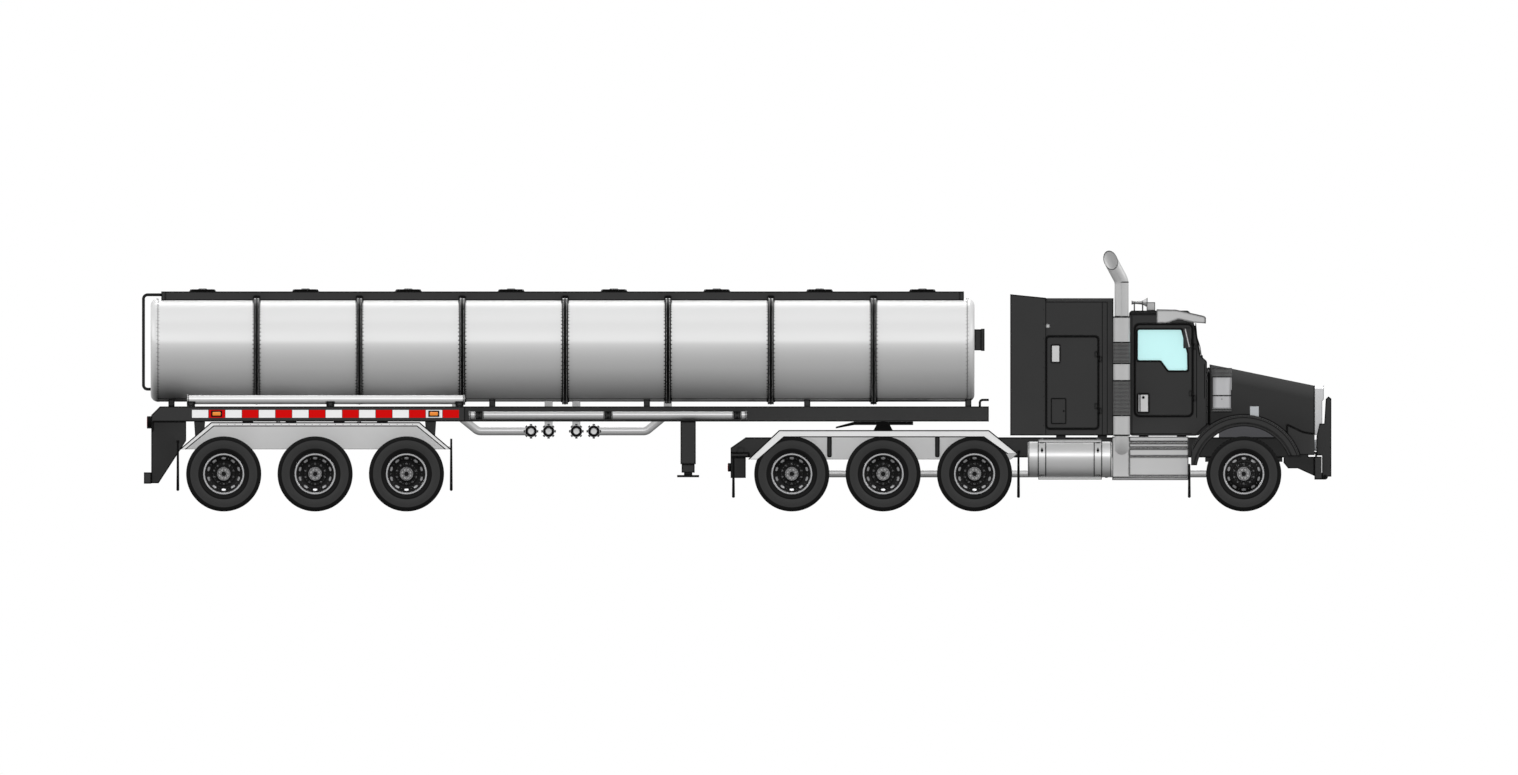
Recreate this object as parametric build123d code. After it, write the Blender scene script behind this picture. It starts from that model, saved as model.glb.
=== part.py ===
from build123d import *
import os
from math import asin, cos, degrees, hypot, radians, sin

# Articulated tanker truck: a long-nosed sleeper tractor and a tank semi-trailer, in millimetres.
# X points forward, Y to the left and Z up. The origin is on the road, under the middle of the truck.
os.makedirs("parts", exist_ok=True)

# Axle lines, from the kingpin
kingpin_x = 2123.0
drive_pitch = 1325.0
steer_from_kingpin = 5229.0
trailer_pitch = 1325.0
tridem_from_kingpin = 8237.0
steer_x = kingpin_x + steer_from_kingpin
drive_xs = [kingpin_x + step * drive_pitch for step in (-1, 0, 1)]
tridem_x = kingpin_x - tridem_from_kingpin
trailer_xs = [tridem_x + step * trailer_pitch for step in (-1, 0, 1)]

# Wheels
tyre_radius = 545.0
tyre_width = 300.0
tread_width = 236.0
shoulder_drop = 22.0
belly_radius = 425.0
bead_width = 224.0
seat_radius = 286.0
rim_wall = 14.0
flange_radius = 300.0
flange_width = 13.0
rim_width = bead_width + 2 * flange_width
twin_spacing = 340.0
disc_wall = 14.0
disc_flat_radius = 182.0
hub_radius = 118.0
hub_cap_radius = 94.0
hub_cap_length = 62.0
hand_hole_radius = 30.0
hand_hole_circle = 226.0
hand_holes = 10
steer_disc_offset = 60.0
steer_y = 1035.0
drive_outer_y = 1095.0
trailer_outer_y = 1145.0

# Fits
running_gap = 0.3
panel_gap = 6.0
cut_over = 5.0

# Tank
tank_front_from_kingpin = 1324.0
tank_length = 11945.0
tank_half_width = 1220.0
tank_half_height = 748.75
tank_crown_radius = 3872.0
tank_centre_z = 2340.0
tank_knuckle = 105.0
ring_count = 7
ring_pitch = 1491.0
ring_width = 76.0
ring_height = 35.0
first_ring_from_rear = 1536.0
hatch_count = 8
first_hatch_from_rear = 754.0
hatch_radius = 198.0
hatch_neck_radius = 225.0
hatch_neck_height = 42.0
hatch_height = 64.0
hatch_dome_radius = 165.0
hatch_dome_height = 28.0
hatch_clamp_radius = 16.0
hatch_clamps = 4
tank_front_x = kingpin_x + tank_front_from_kingpin
tank_rear_x = tank_front_x - tank_length
tank_top_z = tank_centre_z + tank_half_height
ring_xs = [tank_rear_x + first_ring_from_rear + step * ring_pitch for step in range(ring_count)]
hatch_xs = [tank_rear_x + first_hatch_from_rear + step * ring_pitch for step in range(hatch_count)]
tank_flank_radius = (2 * tank_crown_radius * tank_half_height - tank_half_height ** 2
                     - tank_half_width ** 2) / (2 * (tank_crown_radius - tank_half_width))

# Rails on the tank and the ladder tube at the rear
rail_inset = 153.0
rail_y = 460.0
rail_width = 60.0
rail_top_z = 3191.0
rail_cap_length = 60.0
rail_cap_proud = 6.0
ladder_tube_radius = 21.5
ladder_half_width = 210.0
ladder_from_head = 104.5
ladder_top_z = 3142.5
ladder_bottom_z = 1773.5
ladder_bend = 60.0
ladder_rungs = 4
rung_radius = 14.0
rung_pitch = 290.0
first_rung_z = 1930.0
bracket_proud = 26.0
bracket_top_z = 3119.0

# Trailer frame
frame_top_z = 1524.0
frame_bottom_z = 1304.0
beam_inner_y = 430.0
beam_outer_y = 530.0
trailer_rear_x = tank_rear_x + 8.0
trailer_nose_x = tank_front_x + 208.0
nose_block_length = 119.0
tail_length = 507.0
tail_chamfer = 126.0
tail_half_width = 1245.0
side_rail_length = 4043.0
side_rail_inner_y = 1180.0
side_rail_x0 = trailer_rear_x + tail_length
side_rail_x1 = side_rail_x0 + side_rail_length
cross_shares = [0.33, 0.62, 0.93]
cross_xs = [side_rail_x0 + side_rail_length * share for share in cross_shares]
cross_member_depth = 150.0
cross_member_width = 80.0
bumper_plate_y = 580.0
bumper_plate_wall = 30.0
bumper_plate_front_z = 1025.0
bumper_plate_toe = 107.0
bumper_foot_z = 409.0
under_bar_depth = 106.5
under_bar_z0 = 403.0
under_bar_z1 = 568.0
under_bar_half_width = 1180.0
lamp_board_wall = 24.0
lamp_board_z = 1170.0
kingpin_radius = 25.0
kingpin_length = 84.0
kingpin_plate_wall = 12.0
kingpin_plate_half = 620.0
support_half_width = 45.0
support_xs = [-8196.5, -3545.0, -1303.5, 1022.0, 3357.0]
support_y = 480.0

# Trailer wheel covers and flaps
cover_wall = 6.0
trailer_cover_top_z = 1292.0
trailer_cover_bottom_z = 902.0
trailer_cover_top_half = 1509.5
trailer_cover_bottom_half = 1958.5
trailer_cover_shift = 4.5
trailer_cover_inner_y = 624.0
trailer_cover_outer_y = 1262.0
trailer_cover_lip = 52.0
cover_bracket_width = 60.0
flap_wall = 22.0
flap_inner_y = 655.0
flap_outer_y = 1240.0
trailer_flap_bottom_z = 300.0
flap_bar_height = 40.0
rear_flap_top_z = 1031.0
front_flap_top_z = 1056.0
rear_flap_from_cover = 36.0
front_flap_from_cover = 11.0
trailer_rear_flap_x = (tridem_x + trailer_cover_shift - trailer_cover_bottom_half
                       - rear_flap_from_cover)
trailer_front_flap_x = (tridem_x + trailer_cover_shift + trailer_cover_bottom_half
                        + front_flap_from_cover)

# Trailer axles
axle_tube_radius = 66.0
spindle_radius = 42.0
spring_y = 480.0
spring_width = 76.0
spring_leaf = 42.0
spring_rise = 70.0
spring_sag_share = 0.7
spring_reach = 350.0
hanger_half_top = 80.0
hanger_half_foot = 40.0
hanger_foot_z = 720.0

# Hose tubes
upper_tube_radius = 65.0
upper_tube_z = 1620.0
upper_tube_y = 1165.0
upper_tube_rear_from_rail = 9.0
upper_tube_length = 4034.0
upper_saddle_xs = [-7913.5, -5892.5, -4020.5]
saddle_width = 115.0
saddle_wall = 10.0
tube_cap_length = 22.0
tube_cap_proud = 9.0
lower_tube_radius = 54.5
lower_tube_z = 1394.0
lower_tube_x0 = -3887.0
lower_tube_x1 = 149.0
lower_clamp_xs = [-3734.5, -1866.0, 4.0]

# Discharge pipes and outlets, on the right side
pipe_radius = 59.0
pipe_y = 330.0
outlet_face_y = 950.0
pipe_z = 1163.0
outlet_xs = [-2983.0, -2728.0, -2326.0, -2073.0]
rear_pipe_bend_x = -3752.0
rear_pipe_riser_x = -4069.0
front_pipe_bend_x = -1312.0
front_pipe_riser_x = -1000.0
riser_bend_z = 1420.0
pipe_bend_radius = 120.0
flange_height = 84.0
flange_wall = 16.0
outlet_cap_radius = 82.0
outlet_cap_length = 46.0
outlet_tab_radius = 101.0
outlet_tab_width = 30.0
outlet_tabs = 8
outlet_disc_radius = 55.0
outlet_disc_height = 14.0

# Landing gear
gear_x = -705.0
gear_y = 720.0
gear_leg = 222.0
gear_leg_depth = 170.0
gear_leg_bottom_z = 686.0
gear_inner_leg = 190.0
gear_inner_depth = 140.0
gear_inner_bottom_z = 563.0
gear_neck = 120.0
gear_foot_length = 319.0
gear_foot_width = 260.0
gear_foot_wall = 33.0
gear_foot_z = 496.0
gear_shaft_radius = 22.0
gear_shaft_z = 900.0

# Front box, nose tube and lamps
nose_box_depth = 147.0
nose_box_half_width = 330.0
nose_box_z0 = 2336.0
nose_box_z1 = 2642.0
nose_box_lid = 52.0
nose_box_lid_proud = 8.0
nose_tube_radius = 17.0
nose_tube_bend = 42.0
nose_tube_y = 220.0
nose_tube_z = 1618.0
nose_tube_foot_x = 3525.0
stripe_pitch = 242.3
stripe_rear_x = -7902.0
marker_stripes = [1, 14]
marker_half_length = 80.0
marker_half_height = 45.0
marker_depth = 18.0
marker_shift = 4.0
marker_z = 1417.0
tail_lamp_z0 = 1185.0
tail_lamp_z1 = 1401.0
tail_lamp_depth = 61.0
tail_lamp_ys = [1020.0, 780.0]
tail_lamp_radius = 90.0

# Tractor frame
rail_outer_y = 430.0
rail_depth_y = 90.0
rail_wall = 12.0
chassis_bottom_z = 783.0
chassis_top_z = 1076.0
chassis_rear_x = -89.0
chassis_front_x = 8290.0
chassis_slant_x = 219.0
chassis_slant_z = 924.0
chassis_cross_xs = [60.0, 1460.0, 2785.0, 4300.0, 5400.0, 6500.0, 8240.0]
chassis_cross_width = 90.0
rear_box_x1 = 131.0
rear_box_z0 = 486.0
rear_box_y0 = 250.0
rear_box_y1 = 560.0
rear_lamp_depth = 38.0
rear_lamp_radius = 62.0
rear_lamp_z = 640.0
rear_plate_wall = 50.0
rear_plate_x1 = 173.0
rear_plate_half_width = 1230.0
horn_x0 = 7928.0
horn_tip_x = 8376.0
horn_knee_x0 = 7995.0
horn_knee_x1 = 8135.0
horn_low_z = 515.0
horn_knee_z = 625.0
horn_back_z = 706.0
cab_mount_half = 70.0
cab_mount_xs = [4700.0, 5300.0, 5900.0, 6450.0]
cab_mount_y = 385.0

# Fifth wheel
fifth_top_z = 1303.7
fifth_plate_wall = 50.0
fifth_rear_x = 1700.0
fifth_front_x = 2558.0
fifth_half_width = 460.0
fifth_ramp_length = 264.0
fifth_slot_half = 90.0
fifth_foot_half = 97.0
fifth_saddle_y = 330.0
fifth_base_wall = 26.0

# Tractor axles
drive_tube_radius = 78.0
diff_radius = 205.0
shaft_radius = 50.0
shaft_z = 546.0
shaft_front_x = 6880.0
shaft_rear_x = 1023.0
drive_spring_y = 385.0
drive_spring_half = 40.0
steer_beam_half = 45.0
steer_beam_height = 76.0
pivot_y = 860.0
pivot_boss_radius = 42.0
pivot_boss_height = 110.0
pivot_pin_radius = 19.0
fork_lug_height = 40.0
fork_plate_y = 908.0
fork_plate_wall = 34.0
fork_half_width = 60.0
spring_half_length = 520.0
spring_eye_z = 762.0

# Engine and gearbox
engine_x0 = 6990.0
engine_x1 = 8080.0
engine_half_width = 340.0
engine_z0 = 800.0
engine_z1 = 1560.0
gearbox_x1 = 7150.0
gearbox_half_width = 170.0
gearbox_z0 = 480.0
gearbox_z1 = 960.0
radiator_x0 = 8180.0
radiator_wall = 70.0
radiator_half_width = 400.0
radiator_z1 = 1690.0

# Fuel tanks and step boxes
fuel_x0 = 4220.0
fuel_x1 = 5440.0
fuel_radius = 255.0
fuel_z = 759.0
fuel_y = 790.0
strap_xs = [4426.0, 5237.0]
strap_width = 108.0
strap_wall = 6.0
fuel_step_x0 = 4372.0
fuel_step_x1 = 5292.0
fuel_step_width = 150.0
fuel_step_wall = 42.0
fuel_step_y = 1125.0
fuel_top_step_z = 1041.0
fuel_low_step_z = 505.0
step_box_x0 = 5444.0
step_box_x1 = 6550.0
step_box_inner_y = 470.0
step_box_outer_y = 1000.0
step_box_z0 = 493.0
step_box_z1 = 1087.0
step_bands = [(1015.0, 1087.0, 26.0), (935.0, 985.0, 14.0), (805.0, 906.0, 20.0), (522.0, 790.0, 12.0)]
step_tread_z0 = 455.0
step_tread_outer_y = 1075.0

# Exhaust stacks
stack_x = 5580.0
stack_y = 1135.0
stack_radius = 102.0
stack_wall = 5.0
guard_radius = 120.5
guard_z0 = 1105.0
guard_z1 = 2820.0
perforated_zones = [(1391.0, 1897.0), (2146.0, 2452.0)]
perforated_proud = 3.5
stack_elbow_radius = 135.0
stack_elbow_z = 1060.0
stack_bend_z = 3345.0
tip_back = 300.0
tip_out = 126.0
tip_rise = 560.0
tip_bend_radius = 190.0
tip_cut_z = 3646.0
tip_cut_back = 0.32
tip_cut_out = 0.87
tip_cut_up = 0.375
stack_bracket_half = 30.0

# Cab
cab_x0 = 5688.0
cab_roof_z = 2914.0
cab_floor_z = 1098.0
cab_half_width = 900.0
cab_wall = 50.0
cab_roof_front_x = 6560.0
screen_top_x = 6633.0
screen_top_z = 2717.0
screen_foot_x = 6719.0
screen_foot_z = 2266.0
cowl_x = 6819.0
cowl_z = 2179.0
cab_corner = 55.0
glass_lean_share = 0.3
screen_top_share = 0.06
screen_foot_share = 0.97
cab_screen_half_width = 800.0
cab_fender_gap = 30.0
door_x0 = 5773.0
door_x1 = 6608.0
door_z0 = 1385.0
door_z1 = 2717.0
door_corner = 70.0
door_wall = 46.0
window_sill_z = 2182.0
window_low_z = 2036.0
window_top_z = 2646.0
window_x0 = 5805.0
window_step_x0 = 6146.0
window_step_x1 = 6253.0
window_low_x = 6545.0
window_mid_x = 6540.0
window_mid_z = 2294.0
window_top_x = 6453.0
glass_wall = 8.0
handle_x0 = 5817.0
handle_x1 = 5973.0
handle_z0 = 1437.0
handle_z1 = 1704.0
handle_proud = 24.0
hinge_barrel_radius = 10.0
hinge_barrel_length = 70.0
hinge_leaf = 48.0
hinge_leaf_wall = 5.0
pass_half_width = 400.0
pass_z0 = 1300.0
pass_z1 = 2450.0
pass_wall = 30.0
drip_z = 2859.0
drip_proud = 9.0
drip_height = 16.0

# Sleeper and fairing
sleeper_x0 = 4483.0
sleeper_x1 = 5463.0
fairing_x0 = 3965.0
fairing_top_z = 3151.0
fairing_lip_z = 3099.0
sleeper_roof_z = 3093.0
sleeper_floor_z = 1102.0
sleeper_half_width = 1065.0
sleeper_wall = 35.0
sleeper_corner = 54.0
bunk_z = 1650.0
bunk_depth = 560.0
sleeper_door_x0 = 4490.0
sleeper_door_x1 = 5241.0
sleeper_door_z0 = 1202.0
sleeper_door_z1 = 2537.0
sleeper_door_corner = 45.0
vent_x0 = 4562.0
vent_x1 = 4686.0
vent_z0 = 2162.0
vent_z1 = 2414.0
hatch_panel_x1 = 4771.0
hatch_panel_z0 = 1276.0
hatch_panel_z1 = 1638.0
panel_proud = 6.0
work_lamp_x = 4512.0
work_lamp_z = 2690.0
work_lamp_radius = 34.0
work_lamp_depth = 60.0

# Sun visor, horns and mirrors
visor_rear_x = 6088.0
visor_top_rear_z = 2932.0
visor_knee_x = 6368.0
visor_knee_z = 2927.0
visor_front_x = 6803.0
visor_front_top_z = 2836.0
visor_front_z = 2727.0
visor_low_rear_z = 2732.0
visor_arch_x0 = 6246.0
visor_arch_x1 = 6404.0
visor_arch_z = 2788.0
visor_arch_x2 = 6633.0
visor_half_width = 912.0
visor_wall = 10.0
visor_drop = 52.0
horn_base_x = 5725.0
horn_bell_x = 5957.0
horn_z = 3030.0
horn_bell_radius = 72.0
horn_throat_radius = 20.0
horn_base_radius = 32.0
horn_waist_radius = 30.0
horn_y = 330.0
roof_lamp_x = 6005.0
roof_lamp_half = 62.0
roof_lamp_z1 = 3035.0
roof_lamp_ys = [-620.0, 620.0]
mirror_x0 = 6475.0
mirror_x1 = 6582.0
mirror_z0 = 2366.0
mirror_z1 = 2666.0
mirror_y0 = 1090.0
mirror_y1 = 1290.0
mirror_corner = 30.0
mirror_arm_radius = 11.0
mirror_arm_x = 6570.0
mirror_arm_zs = [2400.0, 2632.0]

# Hood
hood_rear_x = 6855.0
hood_rear_z = 2134.0
hood_shoulder_x = 7196.0
hood_shoulder_z = 2068.0
hood_nose_x = 8379.0
hood_nose_z = 1824.0
hood_bottom_z = 818.0
hood_rear_half_width = 640.0
hood_nose_half_width = 520.0
hood_corner_radius = 170.0
hood_wall = 28.0
hood_crown = 30.0
arch_radius = 690.0
fender_radius = 855.0
fender_inner_y = 500.0
fender_cab_y = 915.0
fender_outer_y = 1200.0
fender_rear_z = 670.0
fender_rear_x = 6588.0
fender_front_z = 800.0
fender_lip = 45.0
fender_lip_proud = 8.0
fender_edge_radius = 40.0
nacelle_outer_y = 1060.0
nacelle_top_z = 1120.0
nacelle_x0 = 7980.0
lamp_y = 800.0
lamp_z = 960.0
lamp_half_width = 120.0
lamp_half_height = 80.0
lamp_depth = 20.0
lamp_rim = 16.0
turn_lamp_x = 7506.0
turn_lamp_y = 1080.0
turn_lamp_half = 67.0
turn_lamp_z1 = 1528.0
turn_lamp_width = 110.0
hood_pivot_x = 8400.0
hood_pivot_z = 850.0
hood_lug_y = 320.0
hood_lug_wall = 26.0
hood_lug_radius = 15.0
hood_pin_radius = 7.0
cleaner_x = 7034.0
cleaner_y = 812.0
cleaner_radius = 131.0
cleaner_cap_radius = 143.0
cleaner_z0 = 1440.0
cleaner_z1 = 2082.0
cleaner_band_z = 1680.0
cleaner_cap_height = 60.0
cleaner_duct_x1 = 7180.0
cleaner_duct_z0 = 1760.0
cleaner_duct_z1 = 1960.0

# Grille
grille_front_x = 8512.0
grille_low_front_x = 8489.0
grille_step_z = 1628.0
grille_z0 = 1109.0
grille_z1 = 1839.0
grille_half_width = 500.0
grille_frame = 52.0
grille_corner = 60.0
grille_bars = 15
grille_bar_wall = 10.0
grille_bar_depth = 46.0
grille_centre_bar = 34.0

# Front bumper and grille guard
bumper_x0 = 8376.0
bumper_x1 = 8480.0
bumper_z0 = 463.0
bumper_z1 = 796.0
bumper_half_width = 1200.0
bumper_corner = 60.0
tow_bore_radius = 26.0
tow_collar_radius = 42.0
tow_collar_proud = 8.0
tow_y = 300.0
tow_z = 520.0
guard_pivot_x = 8530.0
guard_pivot_z = 505.0
guard_foot_radius = 42.0
guard_front_x = 8622.0
guard_back_x = 8486.0
guard_tip_x = 8580.0
guard_tip_z = 1669.0
guard_brow_back = 62.0
guard_brow_reach = 40.0
guard_brow_drop = 38.0
guard_wing_x0 = 8406.0
guard_wing_x1 = 8450.0
guard_wing_z0 = 1087.0
guard_wing_z1 = 1276.0
guard_wing_foot_z = 812.0
guard_side_y = 545.0
guard_side_wall = 32.0
guard_tube_radius = 30.0
guard_tube_zs = [640.0, 860.0, 1080.0, 1300.0, 1520.0]
guard_bar_radius = 20.0
guard_bar_ys = [-360.0, -180.0, 0.0, 180.0, 360.0]
guard_pin_radius = 16.0
guard_ear_wall = 22.0

# Drive wheel covers and flaps
drive_cover_top_z = 1177.0
drive_cover_x0 = 173.0
drive_cover_top_x0 = 617.0
drive_cover_top_x1 = 3655.0
drive_cover_x1 = 4071.0
drive_cover_rear_z = 755.0
drive_cover_front_z = 838.0
drive_cover_inner_y = 585.0
drive_cover_outer_y = 1252.0
drive_cover_lip = 94.0
drive_bracket_xs = [1344.0, 2908.5]
drive_bracket_width = 60.0
drive_front_flap_x = 4085.0
drive_front_flap_z1 = 884.0
drive_flap_bottom_z = 200.0
drive_rear_flap_x = -48.0
steer_flap_x = 6562.0
steer_flap_y0 = 760.0
steer_flap_y1 = 1180.0
steer_flap_z1 = 690.0

# Inside the cab
seat_x = 6000.0
seat_y = 430.0
seat_width = 500.0
seat_depth = 480.0
seat_height = 150.0
seat_z = 1480.0
seat_back_height = 720.0
seat_back_wall = 130.0
seat_lean = 10.0
seat_post = 220.0
dash_x0 = 6560.0
dash_z0 = 1600.0
dash_z1 = 1990.0
dash_half_width = 780.0
wheel_rim_radius = 215.0
wheel_rim_tube = 15.0
wheel_tilt = 35.0
wheel_x = 6420.0
wheel_z = 1960.0
wheel_column_radius = 26.0


def span(x0, x1, y0, y1, z0, z1):
    """A block between two coordinates on each axis."""
    return Pos((x0 + x1) / 2, (y0 + y1) / 2, (z0 + z1) / 2) * Box(x1 - x0, y1 - y0, z1 - z0)


def slab(points, y0, y1, corner=0):
    """A side outline of (x, z) points, rounded by corner, carried across from y0 to y1."""
    spots = [(x, y0, z) for x, z in points]
    if corner:
        edge = FilletPolyline(*spots, radius=corner, close=True)
    else:
        edge = Polyline(*spots, close=True)
    return extrude(make_face(edge), amount=y1 - y0, dir=(0, 1, 0))


def cross_rod(x, z, radius, y0, y1):
    """A round bar that lies across the truck."""
    return Pos(x, (y0 + y1) / 2, z) * Cylinder(radius, y1 - y0, rotation=(90, 0, 0))


def long_rod(x0, x1, y, z, radius):
    """A round bar along the truck."""
    return Pos((x0 + x1) / 2, y, z) * Cylinder(radius, x1 - x0, rotation=(0, 90, 0))


def post(x, y, z0, z1, radius):
    """An upright round bar."""
    return Pos(x, y, (z0 + z1) / 2) * Cylinder(radius, z1 - z0)


def spun(profile, x, z, side=1):
    """A profile of (radius, y) points turned about an axle line; side -1 is the right of the truck."""
    ring = revolve(make_face(Polyline(*[(r, side * y) for r, y in profile], close=True)), axis=Axis.Y)
    return Pos(x, 0, z) * ring


def tube_path(points, bend):
    """A line through the points with each bend rounded."""
    return FilletPolyline(*points, radius=bend)


def tube(points, bend, radius, bore=0):
    """A round tube along a bent line, open inside where bore is given."""
    line = tube_path(points, bend)
    start = Plane(line @ 0, z_dir=line % 0)
    solid = sweep(start * Circle(radius), path=line)
    if bore:
        solid -= sweep(start * Circle(bore), path=line)
    return solid


def together(*shapes):
    """One node of solids that don't touch."""
    return Compound([solid for shape in shapes for solid in shape.solids()])


def other_side(shape):
    """The same piece on the other side of the truck."""
    return mirror(shape, about=Plane.XZ)


def pair(shape):
    """A piece and its twin on the other side."""
    return together(shape, other_side(shape))


def save(shape, node):
    """Writes one node."""
    export_step(shape, f"parts/{node}.step")


def oval(half_width, half_height, crown, flank, x):
    """The tank's four-arc section across the truck at x, about the tank's centre."""
    lean = asin((half_width - flank) / (crown - flank))
    knee_y = crown * sin(lean)
    knee_z = half_height - crown + crown * cos(lean)
    top = (x, 0, tank_centre_z + half_height)
    left = (x, half_width, tank_centre_z)
    low = (x, 0, tank_centre_z - half_height)
    right = (x, -half_width, tank_centre_z)
    knees = [(x, sy * knee_y, tank_centre_z + sz * knee_z) for sy, sz in ((-1, 1), (1, 1), (1, -1), (-1, -1))]
    arcs = [ThreePointArc(knees[0], top, knees[1]), ThreePointArc(knees[1], left, knees[2]),
            ThreePointArc(knees[2], low, knees[3]), ThreePointArc(knees[3], right, knees[0])]
    return make_face(arcs)


def tank_body(x0, x1, proud=0):
    """A length of the tank's section, grown by proud."""
    section = oval(tank_half_width + proud, tank_half_height + proud, tank_crown_radius + proud,
                   tank_flank_radius + proud, x0)
    return extrude(section, amount=x1 - x0, dir=(1, 0, 0))


def tyre(x, y, side):
    """One tyre: flat tread, rounded shoulders and a belly, down to the bead."""
    half = tyre_width / 2
    tread = tread_width / 2
    bead = bead_width / 2
    shoulder = tyre_radius - shoulder_drop
    right_half = [(seat_radius, bead), (belly_radius, half), (shoulder, half - shoulder_drop / 2),
                  (tyre_radius, tread)]
    left_half = [(r, -w) for r, w in reversed(right_half)]
    return spun([(r, y + w) for r, w in right_half + left_half], x, tyre_radius, side)


def rim(x, y, side, disc_y, outward):
    """A steel rim with its disc: the disc's flat stands at disc_y, with a ring of hand holes."""
    half = rim_width / 2
    inner = seat_radius - rim_wall
    section = [(inner, -half), (flange_radius, -half), (flange_radius, -half + flange_width),
               (seat_radius, -half + flange_width), (seat_radius, half - flange_width),
               (flange_radius, half - flange_width), (flange_radius, half), (inner, half)]
    ring = spun([(r, y + w) for r, w in section], x, tyre_radius, side)
    foot = disc_y - outward * disc_flat_radius / 3
    wall = outward * disc_wall
    disc = [(hub_radius - cut_over, disc_y), (disc_flat_radius, disc_y), (inner + rim_wall / 2, foot),
            (inner + rim_wall / 2, foot - wall), (disc_flat_radius, disc_y - wall),
            (hub_radius - cut_over, disc_y - wall)]
    shape = ring + spun(disc, x, tyre_radius, side)
    reach = disc_flat_radius
    for step in range(hand_holes):
        turn = radians(360 / hand_holes * step)
        hole_x = x + hand_hole_circle * sin(turn)
        hole_z = tyre_radius + hand_hole_circle * cos(turn)
        shape -= cross_rod(hole_x, hole_z, hand_hole_radius, side * disc_y - reach, side * disc_y + reach)
    return shape


def hub(x, side, inner_y, outer_y, cap_y):
    """A hub with its cap, bored for the spindle."""
    bore = spindle_radius + running_gap
    shape = spun([(bore, inner_y), (hub_radius, inner_y), (hub_radius, outer_y),
                  (hub_cap_radius, outer_y), (hub_cap_radius, cap_y), (0, cap_y),
                  (0, cap_y - hub_cap_length / 2), (bore, cap_y - hub_cap_length / 2)], x, tyre_radius, side)
    return shape


def twin_wheel(x, outer_y, side):
    """Two tyres on one hub, the discs back to back."""
    inner_y = outer_y - twin_spacing
    middle = outer_y - twin_spacing / 2
    outer_rim = rim(x, outer_y, side, middle + disc_wall, -1)
    inner_rim = rim(x, inner_y, side, middle - disc_wall, 1)
    centre = hub(x, side, inner_y, middle + hub_cap_length, middle + 2 * hub_cap_length)
    return together(tyre(x, outer_y, side), tyre(x, inner_y, side), outer_rim + inner_rim + centre)


def steer_wheel(x, y, side):
    """A single steered wheel, its disc set outward."""
    disc_y = y + steer_disc_offset
    centre = hub(x, side, y - hub_cap_length, disc_y + disc_wall, disc_y + hub_cap_length)
    return together(tyre(x, y, side), rim(x, y, side, disc_y, 1) + centre)


def spindle_tip(outer_y):
    """How far out a spindle reaches inside a twin wheel's hub."""
    return outer_y - twin_spacing / 2 + 2 * hub_cap_length - hub_cap_length / 2 - hub_cap_length / 3


def save_wheels():
    """Every wheel node."""
    for side, name in ((1, "left"), (-1, "right")):
        save(steer_wheel(steer_x, steer_y, side), f"steer_wheel_{name}")
        for number, x in enumerate(drive_xs, 1):
            save(twin_wheel(x, drive_outer_y, side), f"drive_wheel_{number}_{name}")
        for number, x in enumerate(trailer_xs, 1):
            save(twin_wheel(x, trailer_outer_y, side), f"trailer_wheel_{number}_{name}")


def tank():
    """The tank with its rings and hatch necks, welded together."""
    shell = tank_body(tank_rear_x, tank_front_x)
    ends = shell.faces().sort_by(Axis.X)
    shell = fillet(ends[0].edges() + ends[-1].edges(), radius=tank_knuckle)
    for x in ring_xs:
        shell += tank_body(x - ring_width / 2, x + ring_width / 2, ring_height)
    neck_foot = tank_top_z - hatch_neck_height
    for x in hatch_xs:
        shell += post(x, 0, neck_foot, tank_top_z + hatch_neck_height, hatch_neck_radius)
    return shell


def manhole_covers():
    """A cover with its dome and clamps on every hatch neck."""
    seat = tank_top_z + hatch_neck_height
    covers = []
    for x in hatch_xs:
        cover = post(x, 0, seat, seat + hatch_height, hatch_radius)
        cover += post(x, 0, seat + hatch_height, seat + hatch_height + hatch_dome_height, hatch_dome_radius)
        for step in range(hatch_clamps):
            turn = radians(360 / hatch_clamps * (step + 0.5))
            reach = hatch_radius + hatch_clamp_radius / 2
            cover += post(x + reach * cos(turn), reach * sin(turn), seat,
                          seat + hatch_height - hatch_dome_height, hatch_clamp_radius)
        covers.append(cover)
    return together(*covers)


def top_rails(tank_solid):
    """Two rails along the crown, closed at both ends, and the ladder behind the rear head."""
    x0 = tank_rear_x + rail_inset
    x1 = tank_front_x - rail_inset
    y0 = rail_y - rail_width / 2
    y1 = rail_y + rail_width / 2
    foot = tank_top_z - hatch_neck_height
    rails = span(x0, x1, y0, y1, foot, rail_top_z)
    rails += other_side(rails)
    for x in (x0, x1 - rail_cap_length):
        rails += span(x, x + rail_cap_length, -y1 - rail_cap_proud, y1 + rail_cap_proud, foot, rail_top_z)
    for x in ring_xs:
        gusset = span(x - ring_width / 2, x + ring_width / 2, y1 - cut_over, y1 + bracket_proud,
                      foot - bracket_proud, bracket_top_z)
        rails += gusset + other_side(gusset)
    stile_x = tank_rear_x - ladder_from_head
    stile = tube([(x0 + cut_over, ladder_half_width, ladder_top_z), (stile_x, ladder_half_width, ladder_top_z),
                  (stile_x, ladder_half_width, ladder_bottom_z),
                  (tank_rear_x + tank_knuckle, ladder_half_width, ladder_bottom_z)],
                 ladder_bend, ladder_tube_radius)
    rails += stile + other_side(stile)
    for step in range(ladder_rungs):
        rails += cross_rod(stile_x, first_rung_z + step * rung_pitch, rung_radius,
                           -ladder_half_width, ladder_half_width)
    return rails - tank_solid


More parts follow.
